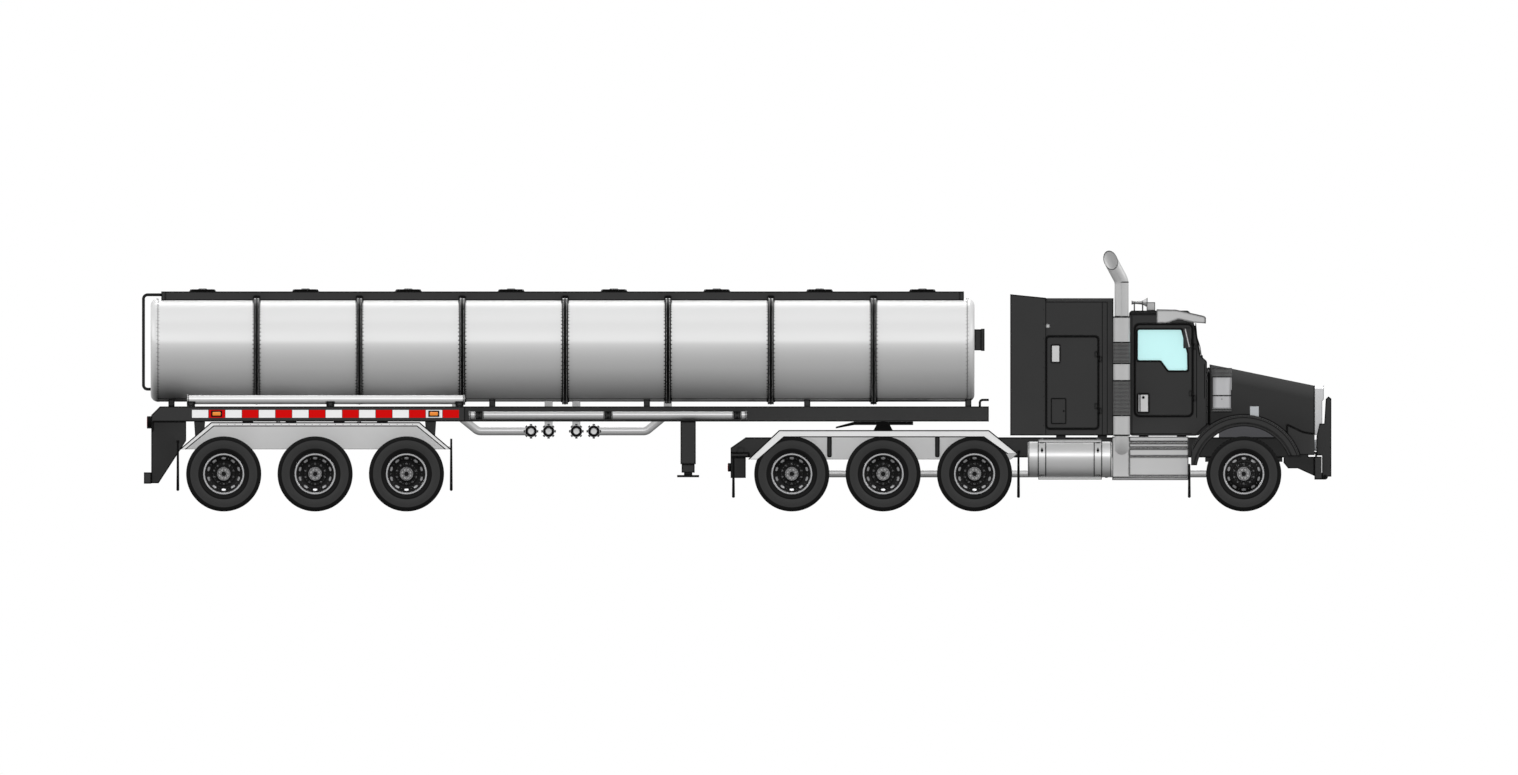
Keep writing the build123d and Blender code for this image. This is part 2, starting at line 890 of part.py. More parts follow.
def trailer_frame(tank_solid):
    """Two long beams, side rails, cross members, the tail with its bumper, and the kingpin plate."""
    tail_x1 = side_rail_x0
    beam = span(trailer_rear_x + tail_length - cut_over, trailer_nose_x, beam_inner_y, beam_outer_y,
                frame_bottom_z, frame_top_z)
    side_rail = span(side_rail_x0 - cut_over, side_rail_x1, side_rail_inner_y, tail_half_width,
                     frame_bottom_z, frame_top_z)
    frame = beam + other_side(beam) + side_rail + other_side(side_rail)
    cross_half = cross_member_width / 2
    for x in cross_xs:
        frame += span(x - cross_half, x + cross_half, -tail_half_width + cut_over, tail_half_width - cut_over,
                      frame_top_z - cross_member_depth, frame_top_z)
    for x in (lower_tube_x1 + cross_member_width, kingpin_x + kingpin_plate_half):
        frame += span(x - cross_half, x + cross_half, -beam_outer_y, beam_outer_y,
                      frame_top_z - cross_member_depth, frame_top_z)
    frame += span(trailer_nose_x - nose_block_length, trailer_nose_x, -beam_outer_y, beam_outer_y,
                  frame_bottom_z, frame_top_z)
    tail = [(trailer_rear_x, frame_bottom_z), (trailer_rear_x, frame_top_z - tail_chamfer),
            (trailer_rear_x + tail_chamfer, frame_top_z), (tail_x1, frame_top_z), (tail_x1, frame_bottom_z)]
    frame += slab(tail, -tail_half_width, tail_half_width)
    board = span(trailer_rear_x, trailer_rear_x + lamp_board_wall, -tail_half_width, tail_half_width,
                 lamp_board_z, frame_bottom_z + cut_over)
    legs = [(trailer_rear_x, frame_bottom_z + cut_over), (tail_x1, frame_bottom_z + cut_over),
            (tail_x1, bumper_plate_front_z), (trailer_rear_x + bumper_plate_toe, bumper_foot_z),
            (trailer_rear_x, bumper_foot_z)]
    leg = slab(legs, bumper_plate_y, bumper_plate_y + bumper_plate_wall)
    frame += board + leg + other_side(leg)
    frame += span(trailer_rear_x - under_bar_depth, trailer_rear_x, -under_bar_half_width,
                  under_bar_half_width, under_bar_z0, under_bar_z1)
    frame += span(kingpin_x - kingpin_plate_half, kingpin_x + kingpin_plate_half, -beam_inner_y - cut_over,
                  beam_inner_y + cut_over, frame_bottom_z, frame_bottom_z + kingpin_plate_wall)
    frame += post(kingpin_x, 0, frame_bottom_z - kingpin_length, frame_bottom_z + cut_over, kingpin_radius)
    for x in support_xs:
        block = span(x - support_half_width, x + support_half_width, support_y - support_half_width,
                     support_y + support_half_width, frame_top_z - cut_over, tank_centre_z)
        frame += (block + other_side(block)) - tank_solid
    return frame


def wheel_cover(low_rear, top_rear, top_front, low_front, inner_y, outer_y, lip):
    """A bent sheet over the wheels: a lip down its outer edge and a full splash panel inside."""
    outline = [low_rear, top_rear, top_front, low_front]
    (x0, z0), (x1, z1), (x2, z2), (x3, z3) = outline
    inner = [(x0 + cover_wall, z0), (x1 + cover_wall / 2, z1 - cover_wall),
             (x2 - cover_wall / 2, z2 - cover_wall), (x3 - cover_wall, z3)]
    sheet = slab(outline + inner[::-1], inner_y, outer_y)
    panel = slab(outline + [(x3 - lip, z0)], inner_y, inner_y + cover_wall)
    rear_lean = lip * hypot(x1 - x0, z1 - z0) / (z1 - z0)
    front_lean = lip * hypot(x2 - x3, z2 - z3) / (z2 - z3)
    rim_inner = [(x0 + rear_lean, z0), (x1 + rear_lean / 2, z1 - lip),
                 (x2 - front_lean / 2, z2 - lip), (x3 - front_lean, z3)]
    edge = slab(outline + rim_inner[::-1], outer_y - cover_wall, outer_y)
    return sheet + panel + edge


def trailer_fenders():
    """One long cover over the three axles on each side, hung from the frame by brackets."""
    middle = tridem_x + trailer_cover_shift
    cover = wheel_cover((middle - trailer_cover_bottom_half, trailer_cover_bottom_z),
                        (middle - trailer_cover_top_half, trailer_cover_top_z),
                        (middle + trailer_cover_top_half, trailer_cover_top_z),
                        (middle + trailer_cover_bottom_half, trailer_cover_bottom_z),
                        trailer_cover_inner_y, trailer_cover_outer_y, trailer_cover_lip)
    half = cover_bracket_width / 2
    for x in cross_xs[:2]:
        cover += span(x - half, x + half, side_rail_inner_y, tail_half_width - cut_over,
                      trailer_cover_top_z - cover_wall / 2, frame_bottom_z)
    flap_back_x = trailer_front_flap_x - flap_wall / 2
    cover += span(flap_back_x - flap_bar_height, flap_back_x, trailer_cover_inner_y, flap_outer_y,
                  trailer_cover_bottom_z, trailer_cover_bottom_z + flap_bar_height)
    return pair(cover)


def flap(x, y0, y1, z0, z1):
    """A hanging rubber flap."""
    return span(x - flap_wall / 2, x + flap_wall / 2, y0, y1, z0, z1)


def trailer_mud_flaps():
    """Rear flaps under a bar from the bumper plates, and front flaps on the covers' ends."""
    half = flap_bar_height / 2
    x = trailer_rear_flap_x
    rear = span(x - half, x + half, bumper_plate_y + bumper_plate_wall, flap_outer_y,
                rear_flap_top_z - flap_bar_height, rear_flap_top_z)
    rear += flap(x, flap_inner_y, flap_outer_y, trailer_flap_bottom_z, rear_flap_top_z - half)
    front = flap(trailer_front_flap_x, flap_inner_y, flap_outer_y, trailer_flap_bottom_z, front_flap_top_z)
    return pair(together(rear, front))


def spring(x, half_length, eye_z, seat_z, y, width, leaf):
    """A leaf spring bent down to its axle."""
    middle = eye_z - leaf
    sag = (eye_z - seat_z) * spring_sag_share
    outline = [(x - half_length, eye_z), (x - half_length / 2, eye_z - sag),
               (x, seat_z + leaf), (x + half_length / 2, eye_z - sag),
               (x + half_length, eye_z), (x + half_length, middle),
               (x + half_length / 2, middle - sag), (x, seat_z),
               (x - half_length / 2, middle - sag), (x - half_length, middle)]
    return slab(outline, y - width / 2, y + width / 2)


def axle_beam(x, radius, tip_y):
    """A round axle tube with a turned spindle at each end."""
    shoulder = tip_y - twin_spacing / 2 - twin_spacing
    tube_piece = cross_rod(x, tyre_radius, radius, -shoulder, shoulder)
    return tube_piece + cross_rod(x, tyre_radius, spindle_radius, -tip_y, tip_y)


def trailer_axles():
    """Three axle tubes, their leaf springs and the hangers under the frame."""
    tip = spindle_tip(trailer_outer_y)
    seat_z = tyre_radius + axle_tube_radius - cut_over
    shape = Part()
    for axle_x in trailer_xs:
        shape += axle_beam(axle_x, axle_tube_radius, tip)
        side = spring(axle_x, spring_reach, hanger_foot_z + spring_rise, seat_z, spring_y, spring_width,
                      spring_leaf)
        for x in (axle_x - spring_reach, axle_x + spring_reach):
            side += slab([(x - hanger_half_top, frame_bottom_z), (x + hanger_half_top, frame_bottom_z),
                          (x + hanger_half_foot, hanger_foot_z), (x - hanger_half_foot, hanger_foot_z)],
                         spring_y - spring_width / 2 - saddle_wall, spring_y + spring_width / 2 + saddle_wall)
        shape += side + other_side(side)
    return shape


def capped_tube(x0, x1, y, z, radius):
    """A hose tube with a proud cap at each end."""
    shape = long_rod(x0, x1, y, z, radius)
    shape += long_rod(x0, x0 + tube_cap_length, y, z, radius + tube_cap_proud)
    return shape + long_rod(x1 - tube_cap_length, x1, y, z, radius + tube_cap_proud)


def hose_tubes():
    """An upper tube on saddles over the side rail and a lower one clamped to the long beam."""
    x0 = side_rail_x0 + upper_tube_rear_from_rail
    upper = capped_tube(x0, x0 + upper_tube_length, upper_tube_y, upper_tube_z, upper_tube_radius)
    half = saddle_width / 2
    reach = upper_tube_radius + saddle_wall
    for x in upper_saddle_xs:
        upper += span(x - half, x + half, side_rail_inner_y, upper_tube_y + reach, frame_top_z,
                      upper_tube_z - upper_tube_radius / 2)
    lower_y = beam_outer_y + saddle_wall + lower_tube_radius
    lower = capped_tube(lower_tube_x0, lower_tube_x1, lower_y, lower_tube_z, lower_tube_radius)
    for x in lower_clamp_xs:
        lower += span(x - half, x + half, beam_outer_y, lower_y + lower_tube_radius + saddle_wall,
                      lower_tube_z - lower_tube_radius, lower_tube_z + lower_tube_radius)
    return pair(together(upper, lower))


def outlet(x):
    """A capped outlet that faces the right: flange, lobed cap and centre disc."""
    face_y = -outlet_face_y
    cap_y = face_y - outlet_cap_length
    shape = cross_rod(x, pipe_z, pipe_radius, face_y, -pipe_y)
    shape += cross_rod(x, pipe_z, flange_height, face_y, face_y + flange_wall)
    shape += cross_rod(x, pipe_z, outlet_cap_radius, cap_y, face_y)
    for step in range(outlet_tabs):
        turn = radians(360 / outlet_tabs * step)
        tab = span(-outlet_tab_width / 2, outlet_tab_width / 2, cap_y, face_y - outlet_cap_length / 4,
                   outlet_cap_radius - cut_over, outlet_tab_radius)
        shape += Pos(x, 0, pipe_z) * Rot(0, degrees(turn), 0) * tab
    return shape + cross_rod(x, pipe_z, outlet_disc_radius, cap_y - outlet_disc_height, cap_y)


def discharge_pipes(tank_solid):
    """Two long pipes with risers and two straight risers, each to its capped outlet."""
    top_z = tank_centre_z
    shape = Part()
    for outlet_x, bend_x, riser_x in ((outlet_xs[0], rear_pipe_bend_x, rear_pipe_riser_x),
                                      (outlet_xs[-1], front_pipe_bend_x, front_pipe_riser_x)):
        run = [(outlet_x, -pipe_y, pipe_z), (bend_x, -pipe_y, pipe_z), (riser_x, -pipe_y, riser_bend_z),
               (riser_x, -pipe_y, top_z)]
        shape += tube(run, pipe_bend_radius, pipe_radius) - tank_solid
        shape += Pos(outlet_x, -pipe_y, pipe_z) * Sphere(pipe_radius)
    for outlet_x in outlet_xs[1:-1]:
        shape += post(outlet_x, -pipe_y, pipe_z, top_z, pipe_radius) - tank_solid
        shape += Pos(outlet_x, -pipe_y, pipe_z) * Sphere(pipe_radius)
    for outlet_x in outlet_xs:
        shape += outlet(outlet_x)
    return shape


def landing_gear():
    """Two square legs with inner legs and sand shoes, and the cross shaft between them."""
    leg = span(gear_x - gear_leg / 2, gear_x + gear_leg / 2, gear_y - gear_leg_depth / 2,
               gear_y + gear_leg_depth / 2, gear_leg_bottom_z, frame_bottom_z)
    leg += span(gear_x - gear_leg / 2, gear_x + gear_leg / 2, beam_inner_y, gear_y,
                frame_bottom_z - gear_leg_depth, frame_bottom_z)
    leg += span(gear_x - gear_inner_leg / 2, gear_x + gear_inner_leg / 2, gear_y - gear_inner_depth / 2,
                gear_y + gear_inner_depth / 2, gear_inner_bottom_z, gear_leg_bottom_z)
    foot_z = gear_foot_z + gear_foot_wall
    leg += span(gear_x - gear_neck / 2, gear_x + gear_neck / 2, gear_y - gear_neck / 2,
                gear_y + gear_neck / 2, foot_z, gear_inner_bottom_z)
    leg += span(gear_x - gear_foot_length / 2, gear_x + gear_foot_length / 2, gear_y - gear_foot_width / 2,
                gear_y + gear_foot_width / 2, gear_foot_z, foot_z)
    shaft = cross_rod(gear_x, gear_shaft_z, gear_shaft_radius, -gear_y, gear_y)
    return leg + other_side(leg) + shaft


def front_box():
    """The box on the front head with its lid, and the bent tube on the frame's nose."""
    lid_x = tank_front_x + nose_box_depth
    box = span(tank_front_x, lid_x - nose_box_lid, -nose_box_half_width, nose_box_half_width,
               nose_box_z0, nose_box_z1)
    box += span(lid_x - nose_box_lid, lid_x, -nose_box_half_width - nose_box_lid_proud,
                nose_box_half_width + nose_box_lid_proud, nose_box_z0 - nose_box_lid_proud,
                nose_box_z1 + nose_box_lid_proud)
    nose = tube([(nose_tube_foot_x, nose_tube_y, frame_top_z), (nose_tube_foot_x, nose_tube_y, nose_tube_z),
                 (trailer_nose_x, nose_tube_y, nose_tube_z)], nose_tube_bend, nose_tube_radius)
    return together(box, nose, other_side(nose))


def trailer_lamps():
    """Side lamps in the striped band and round lamps on the lamp board."""
    lamps = []
    for stripe in marker_stripes:
        x = stripe_rear_x + (stripe + 0.5) * stripe_pitch - marker_shift
        side_lamp = span(x - marker_half_length, x + marker_half_length, tail_half_width,
                         tail_half_width + marker_depth, marker_z - marker_half_height,
                         marker_z + marker_half_height)
        lamps.append(side_lamp)
    middle_z = (tail_lamp_z0 + tail_lamp_z1) / 2
    for y in tail_lamp_ys:
        lamp = long_rod(trailer_rear_x - tail_lamp_depth, trailer_rear_x, y, middle_z, tail_lamp_radius)
        lamps.append(lamp)
    return pair(together(*lamps))


def save_trailer():
    """Every trailer node but the wheels."""
    tank_solid = tank()
    save(tank_solid, "tank")
    save(manhole_covers(), "manhole_covers")
    save(top_rails(tank_solid), "top_rails")
    save(trailer_frame(tank_solid), "trailer_frame")
    save(trailer_fenders(), "trailer_fenders")
    save(trailer_mud_flaps(), "trailer_mud_flaps")
    save(trailer_axles(), "trailer_axles")
    save(hose_tubes(), "hose_tubes")
    save(discharge_pipes(tank_solid), "discharge_pipes")
    save(landing_gear(), "landing_gear")
    save(front_box(), "front_box")
    save(trailer_lamps(), "trailer_lamps")


def tractor_frame():
    """Two rails with cross members, the rear plate, lamp boxes, cab mounts and front horns."""
    rail = slab([(chassis_rear_x, chassis_bottom_z), (chassis_rear_x, chassis_slant_z),
                 (chassis_rear_x + chassis_slant_x, chassis_top_z), (chassis_front_x, chassis_top_z),
                 (chassis_front_x, chassis_bottom_z)], rail_outer_y - rail_depth_y, rail_outer_y)
    web = span(chassis_rear_x - cut_over, chassis_front_x + cut_over, rail_outer_y - rail_depth_y - cut_over,
               rail_outer_y - rail_wall, chassis_bottom_z + rail_wall, chassis_top_z - rail_wall)
    rail -= web
    horn = slab([(horn_x0, chassis_bottom_z + rail_wall), (horn_x0, horn_back_z), (horn_knee_x0, horn_knee_z),
                 (horn_knee_x1, horn_knee_z), (horn_tip_x, horn_low_z),
                 (horn_tip_x, chassis_bottom_z + rail_wall)], rail_outer_y - rail_depth_y, rail_outer_y)
    frame = rail + horn
    half = chassis_cross_width / 2
    box = span(chassis_rear_x, rear_box_x1, rear_box_y0, rear_box_y1, rear_box_z0, chassis_bottom_z)
    frame += box
    for x in cab_mount_xs:
        top_z = sleeper_floor_z if x < stack_x else cab_floor_z
        frame += span(x - cab_mount_half, x + cab_mount_half, cab_mount_y - half, cab_mount_y + half,
                      chassis_top_z - rail_wall, top_z)
    frame += other_side(frame)
    for x in chassis_cross_xs:
        frame += span(x - half, x + half, -rail_outer_y + rail_wall / 2, rail_outer_y - rail_wall / 2,
                      chassis_bottom_z + rail_wall, chassis_slant_z)
    frame += span(chassis_rear_x, rear_plate_x1, -rear_plate_half_width, rear_plate_half_width,
                  chassis_bottom_z + rail_wall, chassis_bottom_z + rail_wall + rear_plate_wall)
    for y in ((rear_box_y0 + rear_box_y1) / 2, -(rear_box_y0 + rear_box_y1) / 2):
        frame += long_rod(chassis_rear_x - rear_lamp_depth, chassis_rear_x + cut_over, y, rear_lamp_z,
                          rear_lamp_radius)
    return frame


def steer_axle():
    """The front beam with an eye for each knuckle pin, on two leaf springs."""
    half = steer_beam_height / 2
    beam = span(steer_x - steer_beam_half, steer_x + steer_beam_half, -pivot_y + pivot_boss_radius / 2,
                pivot_y - pivot_boss_radius / 2, tyre_radius - half, tyre_radius + half)
    for side in (1, -1):
        eye = post(steer_x, side * pivot_y, tyre_radius - pivot_boss_height / 2,
                   tyre_radius + pivot_boss_height / 2, pivot_boss_radius)
        beam += eye
        beam -= post(steer_x, side * pivot_y, tyre_radius - pivot_boss_height,
                     tyre_radius + pivot_boss_height, pivot_pin_radius + running_gap)
    seat = tyre_radius + half - cut_over
    leaf = spring(steer_x, spring_half_length, spring_eye_z, seat, drive_spring_y, 2 * drive_spring_half,
                  spring_leaf)
    for x in (steer_x - spring_half_length, steer_x + spring_half_length):
        leaf += span(x - drive_spring_half, x + drive_spring_half, drive_spring_y - drive_spring_half,
                     drive_spring_y + drive_spring_half, spring_eye_z - spring_leaf, chassis_bottom_z)
    return beam + leaf + other_side(leaf)


def knuckle():
    """A fork over the beam's eye, its pin, and the spindle that carries the wheel."""
    gap = running_gap
    top = tyre_radius + pivot_boss_height / 2 + gap
    low = tyre_radius - pivot_boss_height / 2 - gap
    plate_y1 = fork_plate_y + fork_plate_wall
    shape = span(steer_x - fork_half_width, steer_x + fork_half_width, fork_plate_y, plate_y1,
                 low - fork_lug_height, top + fork_lug_height)
    for z0, z1 in ((top, top + fork_lug_height), (low - fork_lug_height, low)):
        shape += post(steer_x, pivot_y, z0, z1, pivot_boss_radius)
        shape += span(steer_x - pivot_boss_radius, steer_x + pivot_boss_radius, pivot_y, plate_y1, z0, z1)
    shape += post(steer_x, pivot_y, low - cut_over, top + cut_over, pivot_pin_radius)
    tip = steer_y + steer_disc_offset + hub_cap_length / 3
    return shape + cross_rod(steer_x, tyre_radius, spindle_radius, plate_y1 - cut_over, tip)


def drive_axles():
    """Three driven axles with their round casings, the shafts between them and their springs."""
    tip = spindle_tip(drive_outer_y)
    shape = long_rod(shaft_rear_x, shaft_front_x, 0, shaft_z, shaft_radius)
    seat_z = tyre_radius + drive_tube_radius - cut_over
    for x in drive_xs:
        shape += axle_beam(x, drive_tube_radius, tip)
        shape += Pos(x, 0, tyre_radius) * Sphere(diff_radius)
        half = spring_reach + drive_spring_half
        leaf = spring(x, half, chassis_bottom_z - spring_rise / 2, seat_z, drive_spring_y,
                      2 * drive_spring_half, spring_leaf)
        for end_x in (x - half + drive_spring_half, x + half - drive_spring_half):
            leaf += span(end_x - drive_spring_half, end_x + drive_spring_half,
                         drive_spring_y - drive_spring_half, drive_spring_y + drive_spring_half,
                         chassis_bottom_z - spring_rise / 2 - spring_leaf, chassis_bottom_z)
        shape += leaf + other_side(leaf)
    return shape


def engine():
    """The engine and gearbox as one plain block, with the radiator block ahead of it."""
    block = span(engine_x0, engine_x1, -engine_half_width, engine_half_width, chassis_top_z, engine_z1)
    block += span(engine_x0, engine_x1, -engine_half_width + cut_over, engine_half_width - cut_over,
                  engine_z0, chassis_top_z + cut_over)
    block += span(shaft_front_x, gearbox_x1, -gearbox_half_width, gearbox_half_width, gearbox_z0, gearbox_z1)
    radiator = span(radiator_x0, radiator_x0 + radiator_wall, -radiator_half_width, radiator_half_width,
                    chassis_top_z, radiator_z1)
    return together(block, radiator)


def fifth_wheel():
    """The coupling plate with its slot for the kingpin, on two saddle blocks over the frame."""
    low = fifth_top_z - fifth_plate_wall
    plate = span(fifth_rear_x, fifth_front_x, -fifth_half_width, fifth_half_width, low, fifth_top_z)
    corners = plate.edges().filter_by(Axis.Z).sort_by(Axis.X)[-2:]
    plate = fillet(corners, radius=fifth_half_width / 2)
    throat = kingpin_radius + running_gap
    plate -= post(kingpin_x, 0, low - cut_over, fifth_top_z + cut_over, throat)
    slot = [(kingpin_x, throat), (fifth_rear_x + fifth_plate_wall, throat),
            (fifth_rear_x - cut_over, fifth_slot_half), (fifth_rear_x - cut_over, -fifth_slot_half),
            (fifth_rear_x + fifth_plate_wall, -throat), (kingpin_x, -throat)]
    plate -= extrude(make_face(Polyline(*[(x, y, low - cut_over) for x, y in slot], close=True)),
                     amount=fifth_plate_wall + 2 * cut_over, dir=(0, 0, 1))
    ramp = slab([(fifth_rear_x + cut_over, fifth_top_z), (fifth_rear_x + cut_over, low),
                 (fifth_rear_x - fifth_ramp_length, low - fifth_plate_wall),
                 (fifth_rear_x - fifth_ramp_length, low - fifth_plate_wall / 2)],
                fifth_slot_half, fifth_half_width)
    plate += ramp + other_side(ramp)
    foot = slab([(kingpin_x - fifth_foot_half, low + cut_over), (kingpin_x + fifth_foot_half, low + cut_over),
                 (kingpin_x + 2 * fifth_foot_half, chassis_top_z),
                 (kingpin_x - 2 * fifth_foot_half, chassis_top_z)],
                fifth_saddle_y - fifth_base_wall, rail_outer_y)
    base = span(kingpin_x - 3 * fifth_foot_half, kingpin_x + 3 * fifth_foot_half, -rail_outer_y, rail_outer_y,
                chassis_top_z, chassis_top_z + fifth_base_wall)
    return plate + foot + other_side(foot) + base


def fuel_tanks():
    """A round tank on each side with its straps, steps and a bracket to the frame."""
    shape = long_rod(fuel_x0, fuel_x1, fuel_y, fuel_z, fuel_radius)
    ends = shape.faces().sort_by(Axis.X)
    shape = fillet(ends[0].edges() + ends[-1].edges(), radius=strap_wall * 4)
    for x in strap_xs:
        half = strap_width / 2
        shape += long_rod(x - half, x + half, fuel_y, fuel_z, fuel_radius + strap_wall)
        shape += span(x - half, x + half, rail_outer_y, fuel_y, fuel_z + fuel_radius / 4,
                      fuel_z + fuel_radius / 2)
    for top_z in (fuel_top_step_z, fuel_low_step_z):
        tread = span(fuel_step_x0, fuel_step_x1, fuel_step_y - fuel_step_width, fuel_step_y,
                     top_z - fuel_step_wall, top_z)
        for x in strap_xs:
            half = strap_width / 4
            tread += span(x - half, x + half, fuel_y, fuel_step_y - fuel_step_width + cut_over,
                          top_z - fuel_step_wall, top_z + fuel_step_wall / 2)
        shape += tread
    return pair(shape)


def step_boxes():
    """The box under each cab door with its ribbed side, top step and low step."""
    shape = span(step_box_x0, step_box_x1, step_box_inner_y, step_box_outer_y, step_box_z0, step_box_z1)
    for z0, z1, proud in step_bands:
        x0 = stack_x + stack_radius + saddle_wall
        shape += span(x0, step_box_x1, step_box_outer_y - cut_over, step_box_outer_y + proud, z0, z1)
    shape += span(step_box_x0, step_box_x1, step_box_inner_y, step_tread_outer_y, step_tread_z0, step_box_z0)
    shape += span(step_box_x0 + cut_over, step_box_x1 - cut_over, rail_outer_y, step_box_inner_y + cut_over,
                  chassis_bottom_z, chassis_slant_z)
    return pair(shape)


def exhaust_stack():
    """A stack: elbow from the step box, guard with perforated zones, pipe and turned-out tip."""
    elbow = tube([(stack_x, step_box_outer_y, stack_elbow_z - stack_elbow_radius),
                  (stack_x, stack_y, stack_elbow_z - stack_elbow_radius),
                  (stack_x, stack_y, guard_z0 + cut_over)], stack_elbow_radius - cut_over / 2, stack_radius)
    shape = elbow + post(stack_x, stack_y, guard_z0, guard_z1, guard_radius)
    for z0, z1 in perforated_zones:
        shape += post(stack_x, stack_y, z0, z1, guard_radius + perforated_proud)
    bend = stack_bend_z
    run = [(stack_x, stack_y, guard_z1 - cut_over), (stack_x, stack_y, bend),
           (stack_x - tip_back, stack_y + tip_out, bend + tip_rise)]
    shape += tube(run, tip_bend_radius, stack_radius, stack_radius - stack_wall)
    half = tip_rise
    cut_share = (tip_cut_z - stack_bend_z) / tip_rise
    cutter = Plane(origin=(stack_x - tip_back * cut_share, stack_y + tip_out * cut_share, tip_cut_z),
                   z_dir=(-tip_cut_back, tip_cut_out, tip_cut_up)) * Pos(0, 0, half) * Box(
                       4 * half, 4 * half, 2 * half)
    shape -= cutter
    for z in (guard_z0 + guard_radius, guard_z1 - guard_radius):
        shape += span(stack_x - stack_bracket_half, stack_x + stack_bracket_half, pass_half_width,
                      stack_y - guard_radius + cut_over, z - stack_bracket_half, z + stack_bracket_half)
    return shape


def cab_outline(inset=0):
    """The cab's side outline; inset gives the inside of its walls."""
    lean = inset * glass_lean_share
    return [(cab_x0 + inset, cab_floor_z + inset), (cab_x0 + inset, cab_roof_z - inset),
            (cab_roof_front_x - lean, cab_roof_z - inset), (screen_top_x - inset, screen_top_z - lean),
            (screen_foot_x - inset, screen_foot_z - lean), (cowl_x - inset, cowl_z - inset),
            (cowl_x - inset, cab_floor_z + inset)]


def fender_relief(radius, y0, y1):
    """A round of the given radius about the front axle."""
    return cross_rod(steer_x, tyre_radius, radius, y0, y1)


def door_hinge_zs(z0, z1):
    """Where a door's two hinges start."""
    return [z0 + (z1 - z0) / 6, z1 - (z1 - z0) / 6 - 2 * hinge_barrel_length]


def hinge_half(x, y, z, leaf_x):
    """Half a hinge: a barrel on the axis and its leaf towards leaf_x, on a wall at y."""
    barrel = post(x, y + hinge_barrel_radius, z, z + hinge_barrel_length, hinge_barrel_radius)
    x0, x1 = sorted((x, leaf_x))
    return barrel + span(x0, x1, y, y + hinge_leaf_wall, z, z + hinge_barrel_length)


def hinge_x(door_front_x):
    """A door's axis stands in the gap ahead of its front edge."""
    return door_front_x + panel_gap / 2


def screen_line():
    """The windscreen's upper and lower edges on the cab's front."""
    run_x = screen_foot_x - screen_top_x
    run_z = screen_top_z - screen_foot_z
    return [(screen_top_x + run_x * share, screen_top_z - run_z * share)
            for share in (screen_top_share, screen_foot_share)]


def cab_shell():
    """Hollow cab: one rounded shell with door and windscreen openings and the way to the sleeper."""
    y1 = cab_half_width
    shell = slab(cab_outline(), -y1, y1, cab_corner)
    shell = shell - slab(cab_outline(cab_wall), -y1 + cab_wall, y1 - cab_wall)
    gap = panel_gap
    doorway = slab([(door_x0 - gap, door_z0 - gap), (door_x1 + gap, door_z0 - gap),
                    (door_x1 + gap, door_z1 + gap),
                    (door_x0 - gap, door_z1 + gap)], -y1 - cut_over, y1 + cut_over, door_corner + gap)
    shell -= doorway
    top, foot = screen_line()
    screen = slab([(top[0] + cab_wall, top[1]), (top[0] - 2 * cab_wall, top[1]),
                   (foot[0] - 2 * cab_wall, foot[1]), (foot[0] + cab_wall, foot[1])],
                  -cab_screen_half_width, cab_screen_half_width)
    shell -= screen
    shell -= fender_relief(fender_radius + cab_fender_gap, -y1 - cut_over, y1 + cut_over)
    doorstep = span(sleeper_x1, cab_x0 + cut_over, -pass_half_width - pass_wall, pass_half_width + pass_wall,
                    pass_z0 - pass_wall, pass_z1 + pass_wall)
    shell += doorstep
    shell -= span(sleeper_x1 - cut_over, cab_x0 + cab_wall + cut_over, -pass_half_width, pass_half_width,
                  pass_z0, pass_z1)
    drip = span(cab_x0, visor_rear_x - panel_gap, y1 - cut_over, y1 + drip_proud, drip_z, drip_z + drip_height)
    shell += drip + other_side(drip)
    axis_x = hinge_x(door_x1)
    for z in door_hinge_zs(door_z0, door_z1):
        half = hinge_half(axis_x, y1, z, axis_x + hinge_leaf)
        shell += half + other_side(half)
    return shell


def window_outline():
    """The door window with its dropped front corner."""
    return [(window_x0, window_sill_z), (window_x0, window_top_z), (window_top_x, window_top_z),
            (window_mid_x, window_mid_z), (window_low_x, window_low_z), (window_step_x1, window_low_z),
            (window_step_x0, window_sill_z)]


def cab_door():
    """The left door: a slab with its window cut, grab plate and hinge halves."""
    y1 = cab_half_width
    y0 = y1 - door_wall
    outline = [(door_x0, door_z0), (door_x1, door_z0), (door_x1, door_z1), (door_x0, door_z1)]
    door = slab(outline, y0, y1, door_corner)
    door -= slab(window_outline(), y0 - cut_over, y1 + cut_over)
    door += span(handle_x0, handle_x1, y1 - cut_over, y1 + handle_proud, handle_z0, handle_z1)
    axis_x = hinge_x(door_x1)
    for z in door_hinge_zs(door_z0, door_z1):
        upper = z + hinge_barrel_length + running_gap
        door += hinge_half(axis_x, y1, upper, axis_x - hinge_leaf)
    return door


def door_glass():
    """The left door's pane."""
    y = cab_half_width - door_wall / 2
    return slab(window_outline(), y - glass_wall / 2, y + glass_wall / 2)


def mirror_head():
    """The left mirror on its two arms."""
    head = span(mirror_x0, mirror_x1, mirror_y0, mirror_y1, mirror_z0, mirror_z1)
    head = fillet(head.edges().filter_by(Axis.Z), radius=mirror_corner)
    for z in mirror_arm_zs:
        head += cross_rod(mirror_arm_x - mirror_corner, z, mirror_arm_radius, cab_half_width,
                          mirror_y0 + cut_over)
    return head


def cab_glass():
    """The windscreen."""
    top, foot = screen_line()
    back = cab_wall / 2
    pane = slab([(top[0] - back, top[1]), (top[0] - back - glass_wall, top[1]),
                 (foot[0] - back - glass_wall, foot[1]), (foot[0] - back, foot[1])],
                -cab_screen_half_width, cab_screen_half_width)
    return pane


